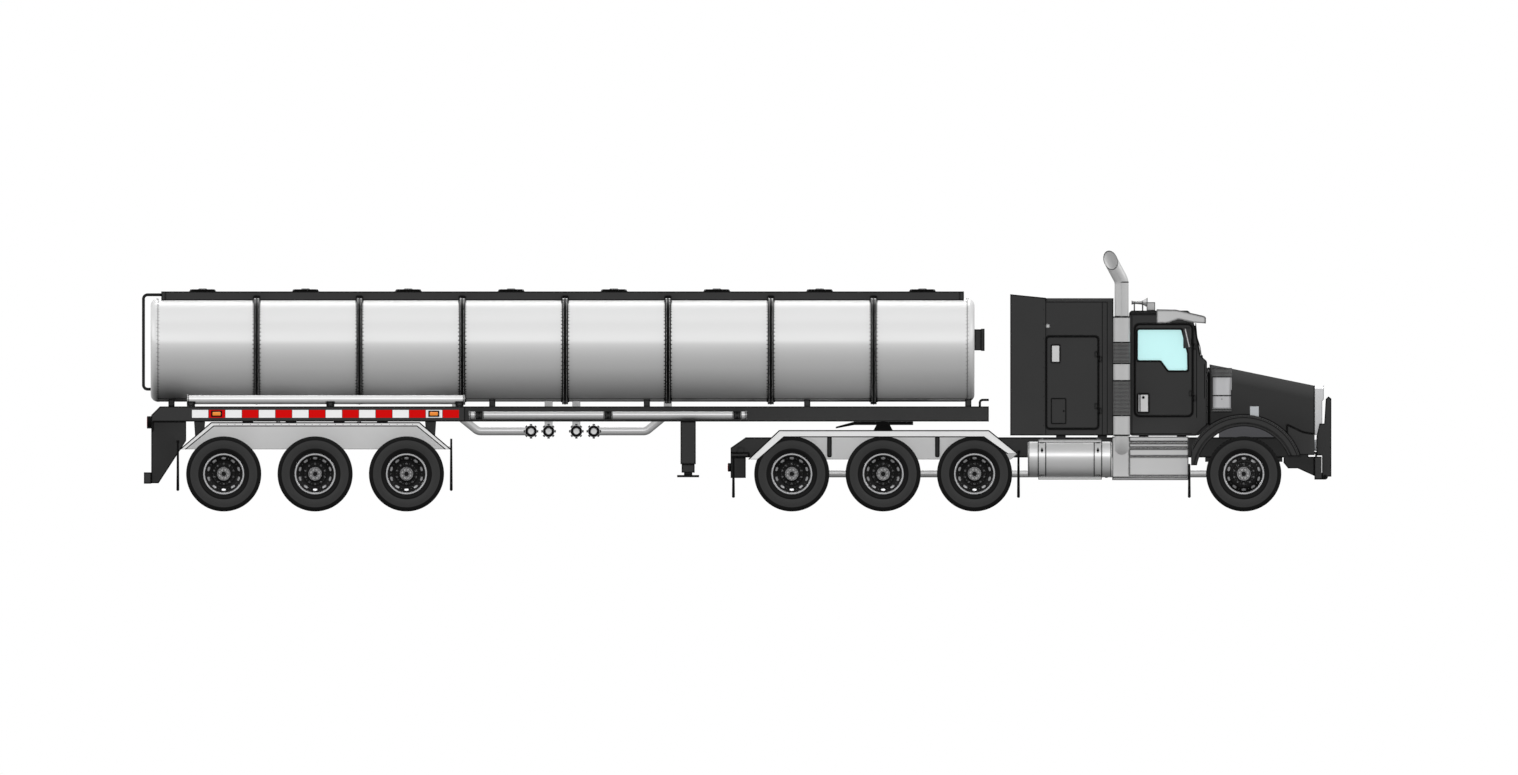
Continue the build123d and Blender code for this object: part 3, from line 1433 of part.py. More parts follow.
def cab_interior():
    """Two seats, the dash, the steering wheel on its column, and the bunk."""
    floor_z = cab_floor_z + cab_wall
    seat = span(seat_x, seat_x + seat_depth, seat_y - seat_width / 2, seat_y + seat_width / 2,
                seat_z, seat_z + seat_height)
    back = Pos(seat_x + seat_back_wall / 2, seat_y, seat_z + seat_height) * Rot(0, -seat_lean, 0) * Pos(
        0, 0, seat_back_height / 2 - seat_height / 2) * Box(seat_back_wall, seat_width - seat_back_wall,
                                                           seat_back_height)
    stand = span(seat_x + seat_back_wall, seat_x + seat_depth - seat_back_wall, seat_y - seat_post / 2,
                 seat_y + seat_post / 2, floor_z, seat_z + cut_over)
    seat = seat + back + stand
    dash_x1 = cowl_x - cab_wall
    dash = slab([(dash_x0, dash_z0), (dash_x0, dash_z1 - cab_wall), (dash_x0 + cab_wall, dash_z1),
                 (dash_x1, dash_z1), (dash_x1, dash_z0)], -dash_half_width, dash_half_width)
    hoop = Pos(wheel_x, seat_y, wheel_z) * Rot(0, -wheel_tilt, 0) * Torus(wheel_rim_radius, wheel_rim_tube)
    spoke = Pos(wheel_x, seat_y, wheel_z) * Rot(0, -wheel_tilt, 0) * Box(
        wheel_rim_tube, 2 * wheel_rim_radius, wheel_rim_tube)
    reach = (dash_x0 - wheel_x + cab_wall) / sin(radians(wheel_tilt))
    column = Pos(wheel_x, seat_y, wheel_z) * Rot(0, -wheel_tilt, 0) * Pos(0, 0, -reach / 2) * Cylinder(
        wheel_column_radius, reach)
    bunk = span(sleeper_x0, sleeper_x0 + bunk_depth,
                -sleeper_half_width + sleeper_wall, sleeper_half_width - sleeper_wall,
                sleeper_floor_z + sleeper_wall, bunk_z)
    return together(seat, other_side(seat), dash + hoop + spoke + column, bunk)


def sleeper_shell():
    """The sleeper and its open rear fairing in one shell, with side door openings."""
    y1 = sleeper_half_width
    wall = sleeper_wall
    body = span(sleeper_x0 - wall, sleeper_x1, -y1, y1, sleeper_floor_z, sleeper_roof_z)
    body = fillet([e for e in body.edges().filter_by(Axis.X) if e.center().Z > sleeper_floor_z + wall],
                  radius=sleeper_corner)
    room = span(sleeper_x0, sleeper_x1 - wall, -y1 + wall, y1 - wall, sleeper_floor_z + wall,
                sleeper_roof_z - wall)
    fairing = slab([(fairing_x0, sleeper_floor_z), (fairing_x0, fairing_top_z), (sleeper_x0, fairing_lip_z),
                    (sleeper_x0, sleeper_floor_z)], -y1, y1)
    hollow = slab([(fairing_x0 - wall, sleeper_floor_z - wall), (fairing_x0 - wall, fairing_top_z - wall),
                   (sleeper_x0 - wall, fairing_lip_z - wall), (sleeper_x0 - wall, sleeper_floor_z - wall)],
                  -y1 + wall, y1 - wall)
    shell = body + fairing - hollow - room
    gap = panel_gap
    shell -= slab([(sleeper_door_x0 - gap, sleeper_door_z0 - gap), (sleeper_door_x1 + gap, sleeper_door_z0 - gap),
                   (sleeper_door_x1 + gap, sleeper_door_z1 + gap), (sleeper_door_x0 - gap, sleeper_door_z1 + gap)],
                  -y1 - cut_over, y1 + cut_over, sleeper_door_corner + gap)
    shell -= span(sleeper_x1 - wall - cut_over, sleeper_x1 + cut_over, -pass_half_width, pass_half_width,
                  pass_z0, pass_z1)
    axis_x = hinge_x(sleeper_door_x1)
    for z in door_hinge_zs(sleeper_door_z0, sleeper_door_z1):
        half = hinge_half(axis_x, y1, z, axis_x + hinge_leaf)
        shell += half + other_side(half)
    return shell


def sleeper_door():
    """The left side door with its vent pane, lower hatch panel and hinge halves."""
    y1 = sleeper_half_width
    y0 = y1 - sleeper_wall
    door = slab([(sleeper_door_x0, sleeper_door_z0), (sleeper_door_x1, sleeper_door_z0),
                 (sleeper_door_x1, sleeper_door_z1), (sleeper_door_x0, sleeper_door_z1)],
                y0, y1, sleeper_door_corner)
    door += span(vent_x0, vent_x1, y1 - cut_over, y1 + panel_proud, vent_z0, vent_z1)
    door += span(vent_x0, hatch_panel_x1, y1 - cut_over, y1 + panel_proud / 2, hatch_panel_z0, hatch_panel_z1)
    axis_x = hinge_x(sleeper_door_x1)
    for z in door_hinge_zs(sleeper_door_z0, sleeper_door_z1):
        upper = z + hinge_barrel_length + running_gap
        door += hinge_half(axis_x, y1, upper, axis_x - hinge_leaf)
    return door


def sun_visor():
    """The visor over the windscreen: a bent top sheet with side cheeks."""
    top = [(visor_rear_x, visor_top_rear_z), (visor_knee_x, visor_knee_z),
           (visor_front_x - visor_drop / 2, visor_front_top_z),
           (visor_front_x, visor_front_top_z - visor_drop / 2),
           (visor_front_x, visor_front_z)]
    under = [(x - visor_wall, z - visor_wall) for x, z in top[1:]]
    under[-1] = (visor_front_x - visor_wall, visor_front_z)
    under = [(visor_rear_x, cab_roof_z)] + [(visor_knee_x - visor_wall, cab_roof_z)] + under[1:]
    sheet = slab(top + under[::-1], -visor_half_width, visor_half_width)
    cheek = slab([(visor_rear_x, visor_top_rear_z), (visor_rear_x, visor_low_rear_z),
                  (visor_arch_x0, visor_low_rear_z), (visor_arch_x1, visor_arch_z),
                  (visor_arch_x2, visor_front_z + visor_wall), (visor_front_x, visor_front_z),
                  (visor_front_x, visor_front_top_z - visor_drop / 2),
                  (visor_front_x - visor_drop / 2, visor_front_top_z), (visor_knee_x, visor_knee_z)],
                 visor_half_width - visor_wall, visor_half_width)
    sheet -= slab(cab_outline(), -cab_half_width, cab_half_width, cab_corner)
    return sheet + cheek + other_side(cheek)


def roof_horns():
    """Two air horns and two lamps on the cab roof, and the work lamps beside the sleeper."""
    profile = [(0, horn_base_x), (horn_base_radius, horn_base_x),
               (horn_throat_radius, horn_base_x + horn_throat_radius * 2),
               (horn_waist_radius, horn_bell_x - horn_bell_radius), (horn_bell_radius, horn_bell_x),
               (0, horn_bell_x)]
    turned = revolve(make_face(Polyline(*[(x, r) for r, x in profile], close=True)), axis=Axis.X)
    horn = Pos(0, horn_y, horn_z) * turned
    for x in (horn_base_x + horn_throat_radius * 2, horn_bell_x - horn_bell_radius):
        horn += post(x, horn_y, cab_roof_z, horn_z, horn_throat_radius / 2)
    pieces = [horn, other_side(horn)]
    for y in roof_lamp_ys:
        pieces.append(span(roof_lamp_x - roof_lamp_half, roof_lamp_x + roof_lamp_half, y - roof_lamp_half,
                           y + roof_lamp_half, cab_roof_z, roof_lamp_z1))
    lamp_y = sleeper_half_width
    work = cross_rod(work_lamp_x, work_lamp_z, work_lamp_radius, lamp_y, lamp_y + work_lamp_depth)
    pieces += [work, other_side(work)]
    return together(*pieces)


def hood_section(x, half_width, top_z, inset, foot_z):
    """The hood's section across the truck: straight sides, round corners and a low crown."""
    side = half_width - inset
    top = top_z - inset
    corner = hood_corner_radius - inset
    shoulder = top - hood_crown
    diag = corner * (1 - cos(radians(45)))
    edges = [Line((x, -side, foot_z), (x, -side, shoulder - corner)),
             ThreePointArc((x, -side, shoulder - corner), (x, -side + diag, shoulder - diag),
                           (x, -side + corner, shoulder)),
             ThreePointArc((x, -side + corner, shoulder), (x, 0, top), (x, side - corner, shoulder)),
             ThreePointArc((x, side - corner, shoulder), (x, side - diag, shoulder - diag),
                           (x, side, shoulder - corner)),
             Line((x, side, shoulder - corner), (x, side, foot_z)),
             Line((x, side, foot_z), (x, -side, foot_z))]
    return make_face(edges)


def hood_body(inset=0):
    """The bonnet's tapered form; inset gives the hollow, open behind and below."""
    grow = cut_over if inset else 0
    shoulder_share = (hood_shoulder_x - hood_rear_x) / (hood_nose_x - hood_rear_x)
    shoulder_width = hood_rear_half_width + (hood_nose_half_width - hood_rear_half_width) * shoulder_share
    stations = [(hood_rear_x - grow, hood_rear_half_width, hood_rear_z),
                (hood_shoulder_x, shoulder_width, hood_shoulder_z),
                (hood_nose_x - inset, hood_nose_half_width, hood_nose_z)]
    foot_z = hood_bottom_z - grow
    return loft([hood_section(x, half, z, inset, foot_z) for x, half, z in stations], ruled=True)


def fender():
    """The left wheel arch: a round band with a rolled lip, cut back beside the cab."""
    y0, y1 = fender_inner_y, fender_outer_y
    band = fender_relief(fender_radius, y0, y1)
    outer_edge = band.edges().filter_by(GeomType.CIRCLE).sort_by(Axis.Y)[-1]
    band = fillet(outer_edge, radius=fender_edge_radius)
    band += fender_relief(arch_radius + fender_lip, y1 - cut_over, y1 + fender_lip_proud)
    nacelle = slab([(nacelle_x0, hood_bottom_z), (nacelle_x0, nacelle_top_z + nacelle_top_z / 8),
                    (hood_nose_x - hood_corner_radius, nacelle_top_z + hood_crown), (hood_nose_x, nacelle_top_z),
                    (hood_nose_x, hood_bottom_z)], y0, nacelle_outer_y)
    nose_edges = nacelle.edges().filter_by(Axis.Z).sort_by(Axis.Y)[-1:]
    nacelle = fillet(nose_edges, radius=hood_corner_radius / 2)
    shape = band + nacelle
    shape -= fender_relief(arch_radius, y0 - cut_over, y1 + fender_lip + cut_over)
    far = 2 * fender_radius
    shape -= span(steer_x - far, steer_x, y0 - cut_over, y1 + fender_lip, tyre_radius - far, fender_rear_z)
    shape -= span(steer_x, steer_x + far, y0 - cut_over, y1 + fender_lip, tyre_radius - far, fender_front_z)
    shape -= span(steer_x - far, hood_rear_x + hood_wall, y0 - cut_over, fender_cab_y, tyre_radius - far,
                  tyre_radius + far)
    shape -= span(steer_x - far, fender_rear_x, y0 - cut_over, y1 + fender_lip, tyre_radius - far,
                  tyre_radius + far)
    return shape


def hood():
    """Bonnet, wheel arches and lamp pods in one tilting shell, with the grille opening and hinge lugs."""
    half = hood_rear_half_width
    wing = fender()
    wing -= hood_body(hood_wall)
    shell = hood_body() - hood_body(hood_wall)
    shell -= fender_relief(arch_radius, -half - cut_over, half + cut_over)
    opening = grille_half_width - grille_frame
    shell -= span(hood_nose_x - 2 * hood_wall, hood_nose_x + cut_over, -opening, opening,
                  grille_z0 + grille_frame, grille_z1 - grille_frame - hood_corner_radius / 2)
    shell += wing + other_side(wing)
    for side in (1, -1):
        y0, y1 = sorted((side * (hood_lug_y + running_gap), side * (hood_lug_y + hood_lug_wall)))
        lug = cross_rod(hood_pivot_x, hood_pivot_z, hood_lug_radius, y0, y1)
        lug += span(hood_nose_x - cut_over, hood_pivot_x, y0, y1, hood_pivot_z - hood_lug_radius,
                    hood_pivot_z + hood_lug_radius)
        lug -= cross_rod(hood_pivot_x, hood_pivot_z, hood_pin_radius + running_gap, y0 - cut_over,
                         y1 + cut_over)
        shell += lug
    return shell


def grille():
    """The bright surround in front of the hood, with its upright bars."""
    y1 = grille_half_width
    step = [(hood_nose_x, grille_z0), (hood_nose_x, grille_z1), (grille_front_x, grille_z1),
            (grille_front_x, grille_step_z), (grille_low_front_x, grille_step_z - grille_frame / 2),
            (grille_low_front_x, grille_z0)]
    shape = slab(step, -y1, y1)
    corner_edges = shape.edges().filter_by(Axis.X).sort_by(Axis.Z)
    shape = fillet(corner_edges[-2:], radius=grille_corner)
    opening = y1 - grille_frame
    shape -= span(hood_nose_x - cut_over, grille_front_x + cut_over, -opening, opening,
                  grille_z0 + grille_frame, grille_z1 - grille_frame)
    pitch = 2 * opening / (grille_bars + 1)
    for step_number in range(1, grille_bars + 1):
        y = -opening + step_number * pitch
        wall = grille_centre_bar if 2 * step_number == grille_bars + 1 else grille_bar_wall
        shape += span(hood_nose_x + grille_bar_depth / 2, hood_nose_x + 3 * grille_bar_depth / 2,
                      y - wall / 2,
                      y + wall / 2, grille_z0 + grille_frame - cut_over, grille_z1 - grille_frame + cut_over)
    return shape


def headlamps():
    """A lamp on each pod's front and a turn lamp on each arch."""
    lamp = span(hood_nose_x, hood_nose_x + lamp_depth, lamp_y - lamp_half_width, lamp_y + lamp_half_width,
                lamp_z - lamp_half_height, lamp_z + lamp_half_height)
    lamp = fillet(lamp.edges().filter_by(Axis.X), radius=lamp_rim * 2)
    pod = span(turn_lamp_x - turn_lamp_half, turn_lamp_x + turn_lamp_half, turn_lamp_y - turn_lamp_width / 2,
               turn_lamp_y + turn_lamp_width / 2, tyre_radius + arch_radius, turn_lamp_z1)
    pod -= fender_relief(fender_radius, 0, fender_outer_y)
    return pair(together(lamp, pod))


def air_cleaners():
    """A round canister with caps and a band on each side of the hood, ducted into its side."""
    shape = post(cleaner_x, cleaner_y, cleaner_z0, cleaner_z1, cleaner_radius)
    for z in (cleaner_z0, cleaner_z1 - cleaner_cap_height):
        shape += post(cleaner_x, cleaner_y, z, z + cleaner_cap_height, cleaner_cap_radius)
    shape += post(cleaner_x, cleaner_y, cleaner_band_z - panel_gap, cleaner_band_z + panel_gap,
                  cleaner_radius + panel_gap)
    duct = span(cleaner_x - cleaner_radius / 2, cleaner_duct_x1, hood_nose_half_width, cleaner_y,
                cleaner_duct_z0, cleaner_duct_z1)
    return pair(shape + (duct - hood_body()))


def front_bumper():
    """The bumper with its tow sockets, and the posts and ears for the hood and the guard."""
    bar = span(bumper_x0, bumper_x1, -bumper_half_width, bumper_half_width, bumper_z0, bumper_z1)
    ends = bar.edges().filter_by(Axis.Z).sort_by(Axis.X)[-2:]
    bar = fillet(ends, radius=bumper_corner)
    post_half = hood_lug_radius
    foot = span(hood_pivot_x - post_half, hood_pivot_x + post_half, hood_lug_y - hood_lug_wall, hood_lug_y,
                bumper_z1 - cut_over, hood_pivot_z)
    foot += cross_rod(hood_pivot_x, hood_pivot_z, hood_lug_radius, hood_lug_y - hood_lug_wall, hood_lug_y)
    foot += cross_rod(hood_pivot_x, hood_pivot_z, hood_pin_radius, hood_lug_y - hood_lug_wall,
                      hood_lug_y + hood_lug_wall)
    collar_x1 = bumper_x1 + tow_collar_proud
    pieces = foot + long_rod(bumper_x1 - cut_over, collar_x1, tow_y, tow_z, tow_collar_radius)
    socket = long_rod(bumper_x0 - cut_over, collar_x1 + cut_over, tow_y, tow_z, tow_bore_radius)
    ear_y1 = guard_side_y - running_gap
    ear = cross_rod(guard_pivot_x, guard_pivot_z, guard_foot_radius, ear_y1 - guard_ear_wall, ear_y1)
    ear += span(bumper_x1 - cut_over, guard_pivot_x, ear_y1 - guard_ear_wall, ear_y1,
                guard_pivot_z - guard_foot_radius, guard_pivot_z + guard_foot_radius)
    ear += cross_rod(guard_pivot_x, guard_pivot_z, guard_pin_radius, ear_y1 - guard_ear_wall,
                     guard_side_y + guard_side_wall)
    pieces += ear
    return bar + pieces + other_side(pieces) - socket - other_side(socket)


def grille_guard():
    """The folding guard: two side plates on pins, cross tubes and upright bars."""
    y0 = guard_side_y
    y1 = guard_side_y + guard_side_wall
    plate = slab([(guard_back_x, guard_pivot_z), (guard_back_x, guard_wing_foot_z),
                  (guard_wing_x0, guard_wing_foot_z), (guard_wing_x0, guard_wing_z0),
                  (guard_wing_x1, guard_wing_z1), (guard_tip_x - guard_brow_back, guard_wing_z1),
                  (guard_tip_x - guard_brow_reach, guard_tip_z - guard_brow_drop),
                  (guard_tip_x, guard_tip_z), (guard_front_x, guard_tip_z - guard_side_wall),
                  (guard_front_x, guard_pivot_z)], y0, y1)
    plate += cross_rod(guard_pivot_x, guard_pivot_z, guard_foot_radius, y0, y1)
    plate -= cross_rod(guard_pivot_x, guard_pivot_z, guard_pin_radius + running_gap, y0 - cut_over,
                       y1 + cut_over)
    shape = plate + other_side(plate)
    tube_x = guard_front_x - guard_tube_radius
    for z in guard_tube_zs:
        shape += cross_rod(tube_x, z, guard_tube_radius, -y0 - cut_over, y0 + cut_over)
    for y in guard_bar_ys:
        shape += post(tube_x, y, guard_tube_zs[0], guard_tube_zs[-1], guard_bar_radius)
    return shape


def drive_fenders():
    """One cover over the three driven axles on each side, with upright brackets to the frame."""
    cover = wheel_cover((drive_cover_x0, drive_cover_rear_z), (drive_cover_top_x0, drive_cover_top_z),
                        (drive_cover_top_x1, drive_cover_top_z), (drive_cover_x1, drive_cover_front_z),
                        drive_cover_inner_y, drive_cover_outer_y, drive_cover_lip)
    half = drive_bracket_width / 2
    for x in drive_bracket_xs:
        cover += span(x - half, x + half, rail_outer_y, drive_cover_inner_y + cover_wall / 2,
                      chassis_slant_z, chassis_top_z - rail_wall)
    return pair(cover)


def tractor_mud_flaps():
    """Flaps behind and ahead of the driven wheels and behind the steered wheels, with their bars."""
    rear_z = chassis_bottom_z + rail_wall
    rear = flap(drive_rear_flap_x, flap_inner_y, flap_outer_y - saddle_wall, drive_flap_bottom_z, rear_z)
    bar_half = flap_bar_height / 2
    x = drive_front_flap_x + cut_over
    front = span(x - bar_half, x + bar_half, rail_outer_y, flap_outer_y,
                 drive_front_flap_z1 - flap_bar_height, drive_front_flap_z1)
    front += flap(x, flap_inner_y, flap_outer_y, drive_flap_bottom_z, drive_front_flap_z1 - bar_half)
    steer = flap(steer_flap_x, steer_flap_y0, steer_flap_y1, drive_flap_bottom_z, steer_flap_z1)
    steer += span(step_box_x1, steer_flap_x, steer_flap_y0, step_box_outer_y, step_box_z0 + bar_half,
                  step_box_z0 + bar_half + flap_bar_height)
    return pair(together(rear, front, steer))


def save_tractor():
    """Every tractor node but the wheels."""
    save(tractor_frame(), "tractor_frame")
    save(steer_axle(), "steer_axle")
    save(drive_axles(), "drive_axles")
    save(engine(), "engine")
    save(fifth_wheel(), "fifth_wheel")
    save(fuel_tanks(), "fuel_tanks")
    save(step_boxes(), "step_boxes")
    save(pair(exhaust_stack()), "exhaust_stacks")
    save(cab_shell(), "cab_shell")
    save(cab_glass(), "cab_glass")
    save(cab_interior(), "cab_interior")
    save(sleeper_shell(), "sleeper_shell")
    save(sun_visor(), "sun_visor")
    save(roof_horns(), "roof_horns")
    save(front_bumper(), "front_bumper")
    save(drive_fenders(), "drive_fenders")
    save(tractor_mud_flaps(), "tractor_mud_flaps")
    save(hood(), "hood")
    save(grille(), "grille")
    save(headlamps(), "headlamps")
    save(air_cleaners(), "air_cleaners")
    save(grille_guard(), "grille_guard")
    for name, place in (("left", lambda shape: shape), ("right", other_side)):
        save(place(knuckle()), f"knuckle_{name}")
        save(place(cab_door()), f"door_{name}")
        save(place(door_glass()), f"door_glass_{name}")
        save(place(mirror_head()), f"mirror_{name}")
        save(place(sleeper_door()), f"sleeper_door_{name}")


save_wheels()
save_trailer()
save_tractor()
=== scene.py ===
"""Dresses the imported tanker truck: finishes, wheels, tank rings, stripes, seals, lamps and small fittings.

Lengths are in metres in the truck's own frame: +X forward, +Y to its left, +Z up from the road.
"""

import logging
from dataclasses import dataclass
from enum import Enum, IntEnum
from math import acos, asin, cos, hypot, pi, radians, sin, tau

import bpy
import bmesh
from mathutils import Matrix, Vector


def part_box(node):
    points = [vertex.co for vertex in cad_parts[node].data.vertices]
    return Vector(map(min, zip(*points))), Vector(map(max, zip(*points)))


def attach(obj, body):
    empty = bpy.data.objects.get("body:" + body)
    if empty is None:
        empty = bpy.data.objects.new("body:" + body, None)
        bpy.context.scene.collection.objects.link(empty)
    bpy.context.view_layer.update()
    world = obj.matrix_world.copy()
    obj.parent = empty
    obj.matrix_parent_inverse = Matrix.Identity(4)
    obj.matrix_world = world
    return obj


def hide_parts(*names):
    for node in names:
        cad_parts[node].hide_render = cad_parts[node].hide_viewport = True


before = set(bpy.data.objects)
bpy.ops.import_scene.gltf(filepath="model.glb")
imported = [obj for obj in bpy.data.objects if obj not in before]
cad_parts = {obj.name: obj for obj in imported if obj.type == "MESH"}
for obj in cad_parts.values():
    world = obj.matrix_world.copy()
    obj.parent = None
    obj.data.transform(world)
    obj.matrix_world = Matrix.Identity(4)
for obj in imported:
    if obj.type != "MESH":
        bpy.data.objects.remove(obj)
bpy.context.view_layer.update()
log = logging.getLogger("tanker")

Point = tuple[float, float, float]
Colour = tuple[float, float, float]
Pair = tuple[float, float]
Outline = list[Pair] | tuple[Pair, ...]
Box = tuple[float, float, float, float]
Faces = list[tuple[int, ...]]


class Side(IntEnum):
    """One side of the truck, by the sign of its Y."""

    LEFT = 1
    RIGHT = -1

    @property
    def word(self) -> str:
        """The side's word as the bodies and nodes use it."""
        return self.name.lower()


class Axis(Enum):
    """The line that a turned form is spun about."""

    X = (1.0, 0.0, 0.0)
    Y = (0.0, 1.0, 0.0)
    Z = (0.0, 0.0, 1.0)


class Signal:
    """A socket of a material's nodes, with arithmetic."""

    def __init__(self, bench: "Bench", socket: bpy.types.NodeSocket) -> None:
        """Wraps a socket.

        Args:
            bench: The bench whose nodes the socket belongs to.
            socket: The output socket.
        """
        self.bench = bench
        self.socket = socket

    def _maths(self, operation: str, *values: "Signal | float") -> "Signal":
        """Adds one Math node.

        Args:
            operation: The Math node's operation.
            values: Its inputs, in order.

        Returns:
            The node's output.
        """
        feeds = {f"i{spot}": value for spot, value in enumerate(values)}
        return self.bench.node("ShaderNodeMath", {"operation": operation}, **feeds)

    def __add__(self, other: "Signal | float") -> "Signal":
        """The sum."""
        return self._maths("ADD", self, other)

    def __sub__(self, other: "Signal | float") -> "Signal":
        """The difference."""
        return self._maths("SUBTRACT", self, other)

    def __rsub__(self, other: float) -> "Signal":
        """The difference from a number."""
        return self._maths("SUBTRACT", other, self)

    def __mul__(self, other: "Signal | float") -> "Signal":
        """The product."""
        return self._maths("MULTIPLY", self, other)

    def __gt__(self, other: "Signal | float") -> "Signal":
        """1 where this is the larger."""
        return self._maths("GREATER_THAN", self, other)

    def __lt__(self, other: "Signal | float") -> "Signal":
        """1 where this is the smaller."""
        return self._maths("LESS_THAN", self, other)

    def __abs__(self) -> "Signal":
        """The value without its sign."""
        return self._maths("ABSOLUTE", self)

    def most(self, other: "Signal") -> "Signal":
        """The larger of the two."""
        return self._maths("MAXIMUM", self, other)

    def part(self) -> "Signal":
        """The fraction after the whole number."""
        return self._maths("FRACT", self)

    def whole(self) -> "Signal":
        """The whole number below."""
        return self._maths("FLOOR", self)

    def angle(self, other: "Signal") -> "Signal":
        """The angle of this over the other."""
        return self._maths("ARCTAN2", self, other)

    def length(self, other: "Signal") -> "Signal":
        """The length of the two values taken at right angles."""
        return self._maths("SQRT", self * self + other * other)

    def eased(self, low: float, high: float) -> "Signal":
        """0 below low, 1 above high, and smooth between."""
        return self.bench.node("ShaderNodeMapRange", {"interpolation_type": "SMOOTHSTEP"},
                               Value=self, From_Min=low, From_Max=high)


class Bench:
    """Makes the nodes of one material or of the world."""

    def __init__(self, owner: bpy.types.Material | bpy.types.World) -> None:
        """Starts with no nodes.

        Args:
            owner: The material or world, whose nodes are cleared.
        """
        owner.use_nodes = True
        self.tree = owner.node_tree
        self.tree.nodes.clear()

    def node(self, kind: str, settings: dict | None = None, out: int | str = 0, **feeds: object) -> Signal:
        """Adds a node.

        Args:
            kind: The node's type.
            settings: Attributes set first; "stops" holds a ramp's (place, colour) pairs.
            out: The output wanted, by number or name.
            feeds: Values or signals by socket name, with _ for a space, or i0, i1 for its number.

        Returns:
            The wanted output.
        """
        made = self.tree.nodes.new(kind)
        for key, value in (settings or {}).items():
            if key == "stops":
                ramp = made.color_ramp
                while len(ramp.elements) < len(value):
                    ramp.elements.new(1.0)
                for element, (place, colour) in zip(ramp.elements, value):
                    element.position = place
                    element.color = (*colour, 1.0)
            else:
                setattr(made, key, value)
        for name, value in feeds.items():
            numbered = name[0] == "i" and name[1:].isdigit()
            self.feed(made.inputs[int(name[1:]) if numbered else name.replace("_", " ")], value)
        return Signal(self, made.outputs[out])

    def feed(self, socket: bpy.types.NodeSocket, value: object) -> None:
        """Links or sets one input socket."""
        if isinstance(value, Signal):
            self.tree.links.new(value.socket, socket)
        elif isinstance(value, tuple) and len(value) == 3 and socket.type == "RGBA":
            socket.default_value = (*value, 1.0)
        else:
            socket.default_value = value

    def show(self, shader: Signal, kind: str = "ShaderNodeOutputMaterial") -> None:
        """Makes a shader the one that is seen."""
        self.feed(self.tree.nodes.new(kind).inputs["Surface"], shader)

    def mix(self, share: Signal | float, first: Signal | Colour, second: Signal | Colour) -> Signal:
        """A colour between two, by share."""
        return self.node("ShaderNodeMix", {"data_type": "RGBA"}, 2, i0=share, i6=first, i7=second)

    def place(self) -> tuple[Signal, Signal, Signal]:
        """The surface point's own x, y and z in its object."""
        spot = self.node("ShaderNodeTexCoord", None, "Object")
        return tuple(self.node("ShaderNodeSeparateXYZ", None, axis, i0=spot) for axis in range(3))

    def noise(self, scale: float, detail: float = 3.0) -> Signal:
        """Soft noise fixed to the object."""
        spot = self.node("ShaderNodeTexCoord", None, "Object")
        return self.node("ShaderNodeTexNoise", None, 0, Vector=spot, Scale=scale, Detail=detail)

    def upward(self) -> Signal:
        """How far the surface faces up: -1 down, 0 level, 1 up."""
        normal = self.node("ShaderNodeNewGeometry", None, "Normal")
        return self.node("ShaderNodeSeparateXYZ", None, 2, i0=normal)

    def near_edge(self, width: float) -> Signal:
        """1 within about width of a sharp edge."""
        eased_normal = self.node("ShaderNodeBevel", {"samples": 6}, Radius=width)
        normal = self.node("ShaderNodeNewGeometry", None, "Normal")
        agree = self.node("ShaderNodeVectorMath", {"operation": "DOT_PRODUCT"}, "Value",
                          i0=eased_normal, i1=normal)
        return (1.0 - agree).eased(*EDGE_BEND)


@dataclass(frozen=True)
class Finish:
    """How one kind of surface looks.

    Attributes:
        name: The material's name.
        slot: The record's material slot that it belongs to; not used.
        colour: Its main colour.
        shine: How strongly it mirrors its surroundings head-on; 0.5 is a usual plastic.
        edge_width: How far the dark line along a sharp edge reaches; 0 for none.
        mottle: The share by which the colour varies over the surface.
        grain: How deep the fine grain stands, in metres.
    """

    name: str
    slot: str
    colour: Colour
    roughness: float = 0.5
    metallic: float = 0.0
    coat: float = 0.0
    shine: float = 0.5
    alpha: float = 1.0
    edge_width: float = 0.0
    mottle: float = 0.06
    mottle_scale: float = 2.0
    grain: float = 0.0001
    grain_scale: float = 160.0

    def tint(self, bench: Bench) -> Signal | Colour:
        """The colour before its small variations."""
        return self.colour

    def material(self) -> bpy.types.Material:
        """The finish's material, made once."""
        known = bpy.data.materials.get(self.name)
        if known:
            return known
        made = bpy.data.materials.new(self.name)
        bench = Bench(made)
        wear = bench.noise(self.mottle_scale)
        colour = bench.node("ShaderNodeHueSaturation", None, 0, Color=self.tint(bench),
                            Value=wear * (2 * self.mottle) + (1.0 - self.mottle))
        if self.edge_width:
            colour = bench.mix(bench.near_edge(self.edge_width), colour, EDGE_BLACK)
        height = bench.noise(self.grain_scale, 2.0)
        bump = bench.node("ShaderNodeBump", Height=height, Strength=GRAIN_STRENGTH, Distance=self.grain)
        shader = bench.node("ShaderNodeBsdfPrincipled", None, 0, Base_Color=colour,
                            Roughness=wear * WEAR + (self.roughness - WEAR / 2), Metallic=self.metallic,
                            Specular_IOR_Level=self.shine, Coat_Weight=self.coat, Alpha=self.alpha,
                            Normal=bump)
        bench.show(shader)
        return made


@dataclass(frozen=True)
class BrightSkin(Finish):
    """Sheet metal painted with a reflection and shade: a pale painted sky above and a darker painted road
    below, by the way it faces.
    """

    def tint(self, bench: Bench) -> Signal:
        """Painted light: a ramp over the surface's slope, with a soft painted horizon step where it stands
        upright.
        """
        slope = bench.upward() * 0.5 + 0.5
        return bench.node("ShaderNodeValToRGB", {"stops": PAINTED_LIGHT_STEPS}, 0, Fac=slope)


